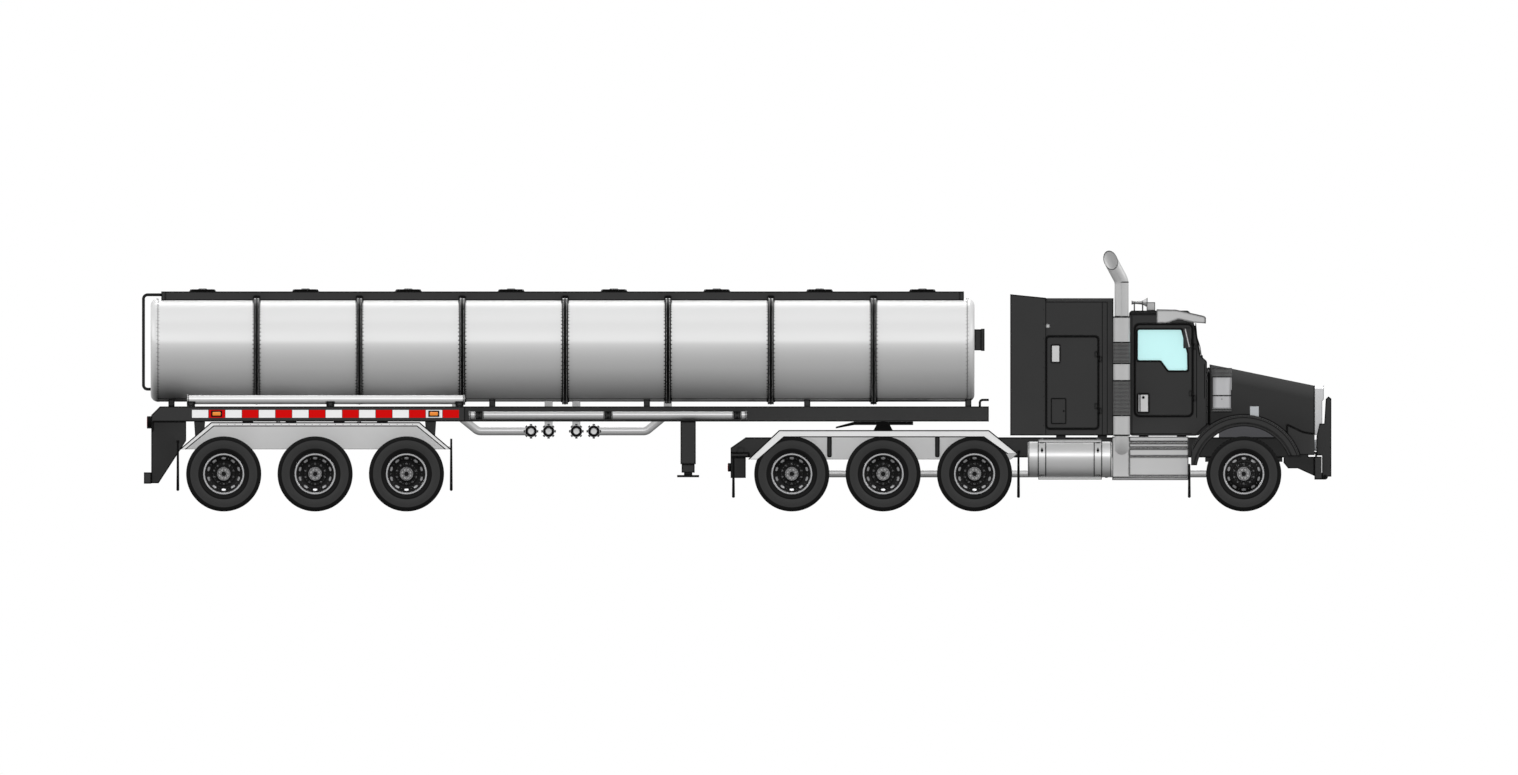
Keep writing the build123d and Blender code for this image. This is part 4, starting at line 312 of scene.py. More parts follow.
@dataclass(frozen=True)
class SideWall(Finish):
    """Tyre rubber, grey on the side wall and black by the bead and over the tread."""

    bead_radius: float = 0.368
    tread_radius: float = 0.484
    dark: Colour = (0.004, 0.004, 0.004)

    def tint(self, bench: Bench) -> Signal:
        """Black inside the bead ring and outside the shoulder."""
        x, _, z = bench.place()
        radius = x.length(z)
        tread = radius.eased(self.tread_radius, self.tread_radius + 0.003)
        bead = 1.0 - radius.eased(self.bead_radius, self.bead_radius + 0.003)
        return bench.mix(tread + bead, self.colour, self.dark)


@dataclass(frozen=True)
class Punched(Finish):
    """Sheet steel with staggered round holes, wrapped round an upright tube."""

    around: int = 38
    rise: float = 0.0195
    hole: float = 0.31

    def tint(self, bench: Bench) -> Signal:
        """Black dots over the steel's colour."""
        x, y, z = bench.place()
        row = z * (1 / self.rise)
        turn = y.angle(x) * (self.around / tau) + row.whole() * 0.5
        dot = (turn.part() - 0.5).length(row.part() - 0.5) < self.hole
        return bench.mix(dot, self.colour, EDGE_BLACK)


@dataclass(frozen=True)
class Woven(Finish):
    """Seat cloth with a fine weave."""

    thread: float = 0.006

    def tint(self, bench: Bench) -> Signal:
        """Two crossing threads, one a little darker."""
        x, y, z = bench.place()
        over = ((x + z) * (1 / self.thread)).part() > 0.5
        under = ((y + z) * (1 / self.thread)).part() > 0.5
        return bench.mix(over * 0.5 + under * 0.5, self.colour, darker(self.colour, 0.6))


@dataclass(frozen=True)
class Treadplate(Finish):
    """Step sheet with raised diagonal bars."""

    pitch: float = 0.03
    half_bar: float = 0.13

    def tint(self, bench: Bench) -> Signal:
        """Darker between the bars."""
        x, y, _ = bench.place()
        first = abs(((x + y) * (1 / self.pitch)).part() - 0.5) < self.half_bar
        second = abs(((x - y) * (1 / self.pitch)).part() - 0.5) < self.half_bar
        return bench.mix(first + second, self.colour, darker(self.colour, 0.35))


def grey(tone: float) -> Colour:
    """A neutral colour."""
    return tone, tone, tone


def darker(colour: Colour, share: float) -> Colour:
    """A colour with only a share of its light."""
    return tuple(share * tone for tone in colour)


ORIGIN: Point = (0, 0, 0)
EDGE_BLACK = grey(0.002)
EDGE_BEND = (0.003, 0.012)
GRAIN_STRENGTH = 0.35
WEAR = 0.12
LINE = 0.034
# Painted reflection and shade: grey by how far a surface faces up, dark facing down, with a pale painted step
# just above upright.
PAINTED_LIGHT_STEPS = [(place, grey(tone)) for place, tone in (
    (0.0, 0.20), (0.07, 0.26), (0.19, 0.36), (0.32, 0.47), (0.44, 0.51), (0.52, 0.54), (0.56, 0.57),
    (0.60, 0.67), (0.77, 0.56), (1.0, 0.54))]

DARK_PAINT = Finish("dark_grey_paint", "dark_paint", grey(0.043), 0.6, shine=0.0, edge_width=LINE)
DARK_PLAIN = Finish("dark_grey_parts", "dark_paint", grey(0.038), 0.6, shine=0.02, edge_width=0.016)
LIGHT_PANEL = Finish("light_grey_panel", "light_panel", grey(0.527), 0.5, coat=0.03, shine=0.2,
                     edge_width=LINE)
# Painted light: the wheel covers are a lightened copy of the light grey panel, to make up for the shade on
# their recessed panels.
COVER_PANEL_PAINTED_LIGHT = Finish("pale_cover_panel", "light_panel", grey(0.80), 0.5, shine=0.1, edge_width=0.012)
PALE_TRIM = Finish("pale_trim", "light_panel", grey(0.60), 0.45, coat=0.03, shine=0.2, edge_width=0.012)
# Painted reflection and shade: these metals take their colour from the slope ramp above, in place of their
# grey.
TANK_SKIN = BrightSkin("tank_aluminium", "tank_metal", grey(0.7), 0.45, 0.05, shine=0.06, mottle=0.015,
                       mottle_scale=0.8, grain=0.00005)
TUBE_SKIN = BrightSkin("bright_aluminium", "tank_metal", grey(0.7), 0.35, 0.08, shine=0.25, mottle=0.02,
                       edge_width=0.022)
STACK_STEEL = Finish("stack_steel", "bright_metal", grey(0.46), 0.4, 0.15, shine=0.3, edge_width=0.026)
STACK_MESH = Punched("punched_steel", "bright_metal", grey(0.17), 0.5, 0.05, shine=0.1, hole=0.42)
PLATED = Finish("plated_trim", "bright_metal", (0.58, 0.58, 0.59), 0.3, 0.3, shine=0.3, edge_width=0.014)
SOFT_PLATED = Finish("plated_parts", "bright_metal", (0.47, 0.47, 0.48), 0.3, 0.25, shine=0.3, mottle=0.03,
                     edge_width=0.010)
DISC_BLACK = Finish("wheel_disc_black", "dark_paint", grey(0.006), 0.5, shine=0.1)
TYRE = SideWall("tyre_rubber", "tyre", grey(0.036), 0.85, shine=0.12, grain=0.0006, grain_scale=90.0)
TREAD = Finish("tread_rubber", "tyre", grey(0.006), 0.8, shine=0.12, grain=0.0006, grain_scale=90.0)
RUBBER = Finish("black_rubber", "flap_rubber", grey(0.004), 0.6, shine=0.03, grain=0.0003)
BLACK_STEEL = Finish("black_steel", "dark_paint", grey(0.004), 0.5, shine=0.02)
GLASS = Finish("cyan_glass", "glass", (0.64, 1.0, 1.0), 0.08, coat=0.6, alpha=0.95, mottle=0.01, grain=0.0)
RED_TAPE = Finish("red_tape", "light_panel", (0.66, 0.002, 0.002), 0.6, shine=0.05, mottle=0.03)
WHITE_TAPE = Finish("white_tape", "light_panel", grey(0.90), 0.6, shine=0.1, mottle=0.02)
AMBER = Finish("amber_lens", "amber_lens", (0.80, 0.22, 0.02), 0.3, coat=0.2, shine=0.2, mottle=0.05)
RED_LENS = Finish("red_lens", "amber_lens", (0.45, 0.01, 0.01), 0.2, coat=0.6, mottle=0.05)
CLEAR_LENS = Finish("clear_lens", "lamp_lens", (0.46, 0.48, 0.50), 0.15, coat=0.3, shine=0.3, mottle=0.05,
                    edge_width=0.012)
CAST = Finish("cast_iron_grey", "engine_grey", (0.12, 0.12, 0.13), 0.65, 0.2, grain=0.0008, edge_width=0.005)
TRIM = Finish("cab_trim", "dark_trim", (0.06, 0.06, 0.065), 0.7, grain=0.0005)
CLOTH = Woven("seat_cloth", "dark_trim", (0.10, 0.10, 0.115), 0.85, grain=0.0008)
STEP_SHEET = Treadplate("step_treadplate", "light_panel", grey(0.62), 0.4, 0.2)


def rounded(corners: Outline, radius: float, steps: int) -> Outline:
    """A closed outline with its corners turned into arcs.

    Args:
        corners: The outline's corners, in order.
        radius: The radius of every corner.
        steps: How many runs make an arc.

    Returns:
        The new outline's points.
    """
    points = []
    for spot, corner in enumerate(corners):
        here = Vector(corner)
        back = (Vector(corners[spot - 1]) - here).normalized()
        ahead = (Vector(corners[(spot + 1) % len(corners)]) - here).normalized()
        half = acos(max(-1.0, min(1.0, back.dot(ahead)))) / 2
        if pi / 2 - half < 0.02:
            points.append(tuple(here))
            continue
        reach = radius / max(0.05, abs(sin(half) / cos(half)))
        centre = here + (back + ahead).normalized() * (radius / sin(half))
        first, last = here + back * reach - centre, here + ahead * reach - centre
        for step in range(steps + 1):
            spoke = first.lerp(last, step / steps).normalized() * radius
            points.append(tuple(centre + spoke))
    return points


def rounded_box(box: Box, radius: float, steps: int) -> Outline:
    """The rounded rectangle between a box's first two values and its last two."""
    a0, a1, b0, b1 = box
    return rounded([(a0, b0), (a1, b0), (a1, b1), (a0, b1)], radius, steps)


def girdle(rows: int, count: int, closed: bool = False, inward: bool = False) -> Faces:
    """The faces between rows of points that each run round.

    Args:
        rows: How many rows there are.
        count: How many points each row has.
        closed: Whether the last row joins the first.
        inward: Whether the faces wind the other way.

    Returns:
        The faces, by the numbers of their points.
    """
    faces = []
    for row in range(rows if closed else rows - 1):
        low, high = row * count, (row + 1) % rows * count
        for s in range(count):
            t = (s + 1) % count
            faces.append((low + t, low + s, high + s, high + t) if inward
                         else (low + s, low + t, high + t, high + s))
    return faces


class Form:
    """Collects the faces of one piece, each with its finish, and makes one mesh of them."""

    corner_signs = [(a, b, c) for a in (-1, 1) for b in (-1, 1) for c in (-1, 1)]
    block_faces: Faces = []
    widest_bevel = 0.6
    weld = 0.00002
    crease = radians(32)

    def __init__(self, name: str) -> None:
        """Starts an empty piece.

        Args:
            name: The piece's name.
        """
        self.name = name
        self.points: list[Vector] = []
        self.faces: Faces = []
        self.marks: list[int] = []
        self.finishes: list[Finish] = []

    def skin(self, points: list, faces: Faces, finish: Finish) -> None:
        """Adds points and the faces between them."""
        if finish not in self.finishes:
            self.finishes.append(finish)
        start = len(self.points)
        self.points += [Vector(point) for point in points]
        self.faces += [tuple(start + spot for spot in face) for face in faces]
        self.marks += [self.finishes.index(finish)] * len(faces)

    @classmethod
    def _hull_of_block(cls) -> Faces:
        """The faces of a block with bevelled edges, worked out once."""
        if not cls.block_faces:
            work = bmesh.new()
            for signs in cls.corner_signs:
                for flat in range(3):
                    work.verts.new([sign * (1.0 if axis == flat else 0.8) for axis, sign in enumerate(signs)])
            bmesh.ops.convex_hull(work, input=work.verts)
            bmesh.ops.dissolve_limit(work, angle_limit=0.01, verts=work.verts, edges=work.edges)
            work.verts.index_update()
            cls.block_faces = [tuple(vert.index for vert in face.verts) for face in work.faces]
            work.free()
        return cls.block_faces

    def block(self, low: Point, high: Point, finish: Finish, edge: float) -> None:
        """Adds a block with bevelled edges.

        Args:
            low: One corner.
            high: The corner across from it.
            finish: Its finish.
            edge: The width of the bevel.
        """
        middle = [(a + b) / 2 for a, b in zip(low, high)]
        half = [abs(b - a) / 2 for a, b in zip(low, high)]
        edge = min(edge, min(half) * self.widest_bevel)
        points = [[middle[axis] + sign * (half[axis] - (0 if axis == flat else edge))
                   for axis, sign in enumerate(signs)] for signs in self.corner_signs for flat in range(3)]
        self.skin(points, self._hull_of_block(), finish)

    def turned(self, profile: Outline, centre: Point, axis: Axis, finish: Finish | list[Finish],
               sides: int = 32, closed: bool = False, along: int = 1) -> None:
        """Adds a profile spun about a line.

        Args:
            profile: Pairs of radius and distance along the axis.
            centre: Where the axis starts.
            axis: The direction of the axis.
            finish: One finish, or one for each run of the profile.
            sides: How many runs go round.
            closed: Whether the profile's end joins its start.
            along: The sign of the distance along the axis.
        """
        line = Vector(axis.value)
        first = Vector((line.y, line.z, line.x))
        second = line.cross(first)
        spokes = [first * cos(tau * s / sides) + second * sin(tau * s / sides) for s in range(sides)]
        rows = [[Vector(centre) + line * (way * along) + spoke * radius for spoke in spokes]
                for radius, way in profile]
        for run in range(len(profile) if closed else len(profile) - 1):
            self.skin(rows[run] + rows[(run + 1) % len(rows)], girdle(2, sides, inward=along < 0),
                      finish[run] if isinstance(finish, list) else finish)

    def hoop(self, low: float, high: float, radius: float, drop: float, ease: float, centre: Point, axis: Axis,
             finish: Finish, sides: int = 48) -> None:
        """Adds a band round an axis, with both edges eased.

        Args:
            low: Where it starts along the axis.
            high: Where it ends.
            radius: Its outer radius.
            drop: How far its edges lie below that.
            ease: The length of each slope.
            centre: Where the axis starts.
            axis: The direction of the axis.
            finish: Its finish.
            sides: How many runs go round.
        """
        self.turned([(radius - drop, low), (radius, low + ease), (radius, high - ease), (radius - drop, high)],
                    centre, axis, finish, sides)

    def rod(self, start: Point, end: Point, radius: float, finish: Finish, sides: int) -> None:
        """Adds a round bar with shut ends between two points."""
        self.tube([start, end], radius, finish, sides=sides, capped=True)

    def tube(self, path: list, radius: float, finish: Finish, sides: int, closed: bool = False,
             capped: bool = False) -> None:
        """Adds a round tube along a line of points.

        Args:
            path: The points.
            radius: The tube's radius.
            finish: Its finish.
            sides: How many runs go round.
            closed: Whether the last point joins the first.
            capped: Whether the ends are shut.
        """
        spots = [Vector(point) for point in path]
        count = len(spots)
        points = []
        up = None
        for n, here in enumerate(spots):
            ahead = spots[(n + 1) % count] if closed or n + 1 < count else here
            back = spots[n - 1] if closed or n else here
            into = (here - back).normalized() if here != back else (ahead - here).normalized()
            out = (ahead - here).normalized() if ahead != here else into
            way = (into + out).normalized()
            if up is None:
                up = Vector((0, 1, 0)) if abs(way.y) < 0.9 else Vector((0, 0, 1))
            across = way.cross(up).normalized()
            up = across.cross(way).normalized()
            stretch = 1 / max(0.4, cos(into.angle(out, 0.0) / 2))
            points += [here + (across * (cos(tau * s / sides) * stretch) + up * sin(tau * s / sides)) * radius
                       for s in range(sides)]
        faces = girdle(count, sides, closed, inward=True)
        if capped:
            faces += [tuple(range(sides)), tuple(reversed(range((count - 1) * sides, count * sides)))]
        self.skin(points, faces, finish)

    def seal(self, loop: Outline, y: float, radius: float, sides: int = 6) -> None:
        """Adds a rubber bead along a closed line of (x, z) points at one y."""
        self.tube([(x, y, z) for x, z in loop], radius, RUBBER, sides, closed=True)

    def plate(self, outline: Outline, y0: float, y1: float, finish: Finish) -> None:
        """Adds a side outline of (x, z) points carried across from the lesser y to the greater."""
        count = len(outline)
        points = [(x, y, z) for y in sorted((y0, y1)) for x, z in outline]
        faces = [tuple(range(count)), tuple(reversed(range(count, 2 * count)))]
        self.skin(points, faces + girdle(2, count, inward=True), finish)

    def lipped_cover(self, outline: Outline, lip: float, face: float) -> None:
        """Adds the beads along a wheel cover's outer edge and along the inside of its lip.

        Args:
            outline: Its four corners as x and z, from the low rear one to the low front one.
            lip: How deep its lip is.
            face: The y of its outer face.
        """
        (x0, z0), (x1, z1), (x2, z2), (x3, z3) = outline
        rear = lip * hypot(x1 - x0, z1 - z0) / (z1 - z0)
        front = lip * hypot(x2 - x3, z2 - z3) / (z2 - z3)
        inner = [(x0 + rear, z0), (x1 + rear / 2, z1 - lip), (x2 - front / 2, z2 - lip), (x3 - front, z3)]
        for edge, radius in ((outline, 0.0085), (inner, 0.0075)):
            self.tube([(x, face, z) for x, z in edge], radius, BLACK_STEEL, 6)

    def stud(self, spot: Point, out: Point, rings: Outline, finish: Finish, sides: int) -> None:
        """Adds a small shut stack of rings on a surface.

        Args:
            spot: The point on the surface.
            out: The surface's outward direction.
            rings: Pairs of radius and height above the surface.
            finish: Its finish.
            sides: How many runs go round.
        """
        way = Vector(out).normalized()
        across = way.orthogonal().normalized()
        other = way.cross(across)
        points = [Vector(spot) + way * rise
                  + (across * cos(tau * s / sides) + other * sin(tau * s / sides)) * radius
                  for radius, rise in rings for s in range(sides)]
        top = tuple(range(len(points) - sides, len(points)))
        self.skin(points, girdle(len(rings), sides) + [top], finish)

    def rivet(self, spot: Point, out: Point, radius: float, finish: Finish = BLACK_STEEL,
              sides: int = 6) -> None:
        """Adds a small domed head on a surface."""
        rings = [(share * radius, rise * radius) for share, rise in ((1.0, -0.2), (0.85, 0.45), (0.4, 0.75))]
        self.stud(spot, out, rings, finish, sides)

    def hexagon(self, spot: Point, out: Point, radius: float, height: float,
                finish: Finish = BLACK_STEEL) -> None:
        """Adds a six-sided nut on a surface, with its corners eased on top."""
        self.stud(spot, out, [(radius, 0.0), (radius, 0.8 * height), (0.8 * radius, height)], finish, 6)

    def mesh(self) -> bpy.types.Mesh:
        """The collected faces as one mesh with its materials."""
        made = bpy.data.meshes.new(self.name)
        made.from_pydata(self.points, [], self.faces)
        for finish in self.finishes:
            made.materials.append(finish.material())
        made.polygons.foreach_set("material_index", self.marks)
        work = bmesh.new()
        work.from_mesh(made)
        bmesh.ops.remove_doubles(work, verts=work.verts, dist=self.weld)
        work.to_mesh(made)
        work.free()
        made.shade_smooth()
        made.set_sharp_from_angle(angle=self.crease)
        return made

    def piece(self, body: str, replaces: tuple[str, ...] = (), spot: Point = ORIGIN) -> None:
        """Makes the object and sets it riding on a body.

        Args:
            body: The body's name.
            replaces: The nodes that it stands for.
            spot: Where its own origin stands.
        """
        settle(self.name, self.mesh(), body, replaces, spot)


def settle(name: str, mesh: bpy.types.Mesh, body: str, replaces: tuple[str, ...],
           spot: Point, turn: float = 0.0) -> None:
    """Puts a piece in the scene, on its body.

    Args:
        name: The piece's name.
        mesh: Its mesh, which pieces may share.
        body: The body that it rides on.
        replaces: The nodes that it stands for.
        spot: Where its own origin stands.
        turn: How far it is turned about Z.
    """
    piece = bpy.data.objects.new(name, mesh)
    piece.location = spot
    piece.rotation_euler.z = turn
    bpy.context.scene.collection.objects.link(piece)
    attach(piece, body)
    if replaces:
        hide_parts(*replaces)
    log.info("made %s on %s", name, body)


def dress(finish: Finish, *nodes: str) -> None:
    """Gives CAD nodes a finish."""
    for name in nodes:
        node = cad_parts[name]
        node.data.materials.clear()
        node.data.materials.append(finish.material())
        log.info("dressed %s in %s", name, finish.name)


@dataclass
class Wheels:
    """The tyres, rims and hubs of every axle.

    Attributes:
        tyre_half: Half a tyre's outline, as radius and distance from its middle.
        tread_rows: Where each row of tread blocks starts and ends across the tyre.
        rim_section: A rim's closed outline.
        disc_slope: How far a disc falls for each unit of radius beyond its flat.
        squareness: How square the hand holes are; 1 would be an ellipse.
    """

    axle_z: float = 0.545
    steer_x: float = 7.352
    steer_y: float = 1.035
    drive_x: float = 2.123
    drive_y: float = 1.095
    trailer_x: float = -6.114
    trailer_y: float = 1.145
    pitch: float = 1.325
    twin_gap: float = 0.340
    tyre_radius: float = 0.545
    shoulder_radius: float = 0.5315
    tyre_half: Outline = (
        (0.286, 0.110), (0.294, 0.117), (0.318, 0.125), (0.340, 0.132), (0.346, 0.1385), (0.357, 0.1395),
        (0.362, 0.1365), (0.368, 0.1385), (0.400, 0.1470), (0.425, 0.1500), (0.450, 0.1498), (0.475, 0.1482),
        (0.483, 0.1476), (0.486, 0.1445), (0.505, 0.1425), (0.520, 0.1380), (0.5315, 0.1260))
    tread_rows: Outline = ((-0.139, -0.092), (-0.082, -0.040), (-0.031, 0.031), (0.040, 0.082), (0.092, 0.139))
    lugs: int = 60
    lug_foot: float = 0.006
    lug_ease: float = 0.002
    shoulder_tuck: float = 0.020
    rim_section: Outline = (
        (0.286, -0.112), (0.286, 0.112), (0.300, 0.114), (0.300, 0.121), (0.296, 0.125), (0.276, 0.125),
        (0.2715, 0.121), (0.2690, 0.100), (0.2690, -0.100), (0.2715, -0.121), (0.276, -0.125),
        (0.296, -0.125), (0.300, -0.121), (0.300, -0.114))
    disc_flat: float = 0.182
    disc_edge: float = 0.270
    disc_slope: float = 0.63
    disc_wall: float = 0.012
    disc_hub: float = 0.118
    hole_circle: float = 0.228
    hole_half_turn: float = radians(8.2)
    hole_half_rise: float = 0.0165
    hole_points: int = 24
    squareness: float = 0.7
    holes: int = 10
    lug_circle: float = 0.146
    cap_bolts: int = 8
    front_disc: float = 0.060
    front_cap: float = 0.121
    rear_disc: float = -0.156
    rear_cap: float = -0.047

    def tyre(self, form: Form, way: float) -> None:
        """Adds one tyre with its tread blocks.

        Args:
            form: The form that takes it.
            way: The tyre's middle along the axle.
        """
        half = self.tyre_half
        outline = [(r, way - w) for r, w in half] + [(r, way + w) for r, w in reversed(half)]
        form.turned(outline, ORIGIN, Axis.Y, TYRE, 72)
        for number, (low, high) in enumerate(self.tread_rows):
            shoulder = number in (0, len(self.tread_rows) - 1)
            for lug in range(self.lugs):
                turn = tau * (lug + 0.5 * (number % 2)) / self.lugs
                self._lug(form, way + low, way + high, turn, shoulder)

    def _lug(self, form: Form, low: float, high: float, turn: float, shoulder: bool) -> None:
        """Adds one tread block, standing on the tread's base."""
        half_turn = tau / self.lugs * (0.30 if shoulder else 0.38)
        ease, tuck = self.lug_ease, self.shoulder_tuck
        near, far = low + ease, high - ease
        if shoulder and abs(low + high) >= tuck:
            near, far = (low + tuck, far) if low + high < 0 else (near, high - tuck)
        points = []
        for radius, first, last in ((self.shoulder_radius - self.lug_foot, low, high),
                                    (self.tyre_radius, near, far)):
            for spread in (-half_turn, half_turn):
                x, z = radius * cos(turn + spread), -radius * sin(turn + spread)
                points += [(x, first, z), (x, last, z)]
        form.skin(points, [(4, 5, 7, 6), (0, 1, 5, 4), (2, 6, 7, 3), (0, 4, 6, 2), (1, 3, 7, 5)], TREAD)

    def barrel(self, form: Form, way: float) -> None:
        """Adds one rim, its outward flange bright."""
        finishes = [DISC_BLACK] + [SOFT_PLATED] * 5 + [DISC_BLACK] * 8
        form.turned([(r, way + w) for r, w in self.rim_section], ORIGIN, Axis.Y, finishes, 64, closed=True)

    def disc(self, form: Form, way: float, lean: int) -> None:
        """Adds the wheel's disc with its hand holes, their bright rims and the lug nuts.

        Args:
            form: The form that takes it.
            way: The disc's flat along the axle.
            lean: 1 where the disc stands out from its rim, -1 where it is sunk.
        """
        low, high = self.disc_flat, self.disc_edge

        def spot(turn: float, radius: float, back: float = 0.0) -> Point:
            """The point of the disc at a turn and radius."""
            fall = max(0.0, radius - low) * self.disc_slope * lean
            return radius * cos(turn), way - fall - back, -radius * sin(turn)

        def square(value: float) -> float:
            """The value drawn towards the sides of a square."""
            return abs(value) ** self.squareness * (1 if value > 0 else -1)

        sector = tau / self.holes
        middle = (low + high) / 2
        ring = [tuple(reversed(face)) for face in girdle(2, self.hole_points)]
        for hole in range(self.holes):
            centre = sector * (hole + 0.5)
            outer, inner, back = [], [], []
            for step in range(self.hole_points):
                spin = tau * step / self.hole_points
                u, v = cos(spin), sin(spin)
                most = max(abs(u), abs(v))
                outer.append(spot(centre + sector / 2 * u / most, middle + (high - low) / 2 * v / most))
                turn = centre + self.hole_half_turn * square(u)
                radius = self.hole_circle + self.hole_half_rise * square(v)
                inner.append(spot(turn, radius, -0.002))
                back.append(spot(turn, radius, self.disc_wall))
            form.skin(outer + inner, ring, DISC_BLACK)
            form.skin(inner + back, ring, SOFT_PLATED)
            form.tube(inner, 0.0035, SOFT_PLATED, sides=5, closed=True)
            form.rivet(spot(sector * hole, self.hole_circle), (0, 1, 0), 0.0085, SOFT_PLATED, 7)
            x, y, z = spot(centre, self.lug_circle)
            form.hexagon((x, y, z), (0, 1, 0), 0.019, 0.024, SOFT_PLATED)
            form.rod((x, y + 0.020, z), (x, y + 0.036, z), 0.0085, SOFT_PLATED, 8)
            form.rivet(spot(sector * hole, self.lug_circle + 0.004), (0, 1, 0), 0.006, SOFT_PLATED, 7)
        foot = way - 0.085 * (lean > 0) - 0.02
        for profile, finish, sides in (
                ([(low, way), (self.disc_hub, way)], DISC_BLACK, 60),
                ([(0.172, way + 0.001), (0.174, way + 0.004), (0.168, way + 0.004)], BLACK_STEEL, 60),
                ([(high - 0.006, foot), (low - 0.02, way - 0.05)], SOFT_PLATED, 48)):
            form.turned(profile, ORIGIN, Axis.Y, finish, sides)

    def hub(self, form: Form, foot: float, top: float) -> None:
        """Adds the hub with its bright ring, bolted cap and dark centre."""
        sunk = top - 0.006
        run = [(0.118, foot - 0.01), (0.118, foot + 0.010), (0.108, foot + 0.016), (0.100, foot + 0.020),
               (0.098, sunk), (0.094, top), (0.084, top), (0.082, sunk), (0.046, sunk),
               (0.044, top - 0.001), (0.034, top - 0.001), (0.032, sunk), (0.0, sunk)]
        finishes = [DISC_BLACK] * 4 + [SOFT_PLATED] * 3
        finishes += [STACK_STEEL, DARK_PLAIN, SOFT_PLATED, DISC_BLACK, DISC_BLACK]
        form.turned(run, ORIGIN, Axis.Y, finishes, 40)
        for bolt in range(self.cap_bolts):
            turn = tau * bolt / self.cap_bolts
            form.hexagon((0.064 * cos(turn), sunk, 0.064 * sin(turn)), (0, 1, 0), 0.008, 0.005, SOFT_PLATED)

    def build(self) -> None:
        """Makes every wheel."""
        single, twin, front, rear = Form("tyre"), Form("twin_tyres"), Form("steer_rim"), Form("twin_rims")
        self.tyre(single, 0.0)
        self.barrel(front, 0.0)
        self.disc(front, self.front_disc, 1)
        self.hub(front, self.front_disc, self.front_cap)
        for way in (0.0, -self.twin_gap):
            self.tyre(twin, way)
            self.barrel(rear, way)
        self.disc(rear, self.rear_disc, -1)
        self.hub(rear, self.rear_disc, self.rear_cap)
        rear.turned([(0.270, -0.262), (0.182, -0.186), (0.118, -0.186), (0.118, -0.35), (0.05, -0.35)], ORIGIN,
                    Axis.Y, DISC_BLACK, 48)
        single_meshes = ("steer_tyre", single.mesh()), ("steer_rim", front.mesh())
        twin_meshes = ("tyres", twin.mesh()), ("rims", rear.mesh())
        for side in Side:
            turn = pi if side is Side.RIGHT else 0.0
            for name, mesh in single_meshes:
                settle(f"{name}_{side.word}", mesh, f"steer_roll_{side.word}",
                       (f"steer_wheel_{side.word}",), (self.steer_x, side * self.steer_y, self.axle_z), turn)
            for kind, middle, reach in (("drive", self.drive_x, self.drive_y),
                                        ("trailer", self.trailer_x, self.trailer_y)):
                for number in (1, 2, 3):
                    end = f"{number}_{side.word}"
                    spot = (middle + (number - 2) * self.pitch, side * reach, self.axle_z)
                    for name, mesh in twin_meshes:
                        settle(f"{kind}_{name}_{end}", mesh, f"{kind}_roll_{end}",
                               (f"{kind}_wheel_{end}",), spot, turn)


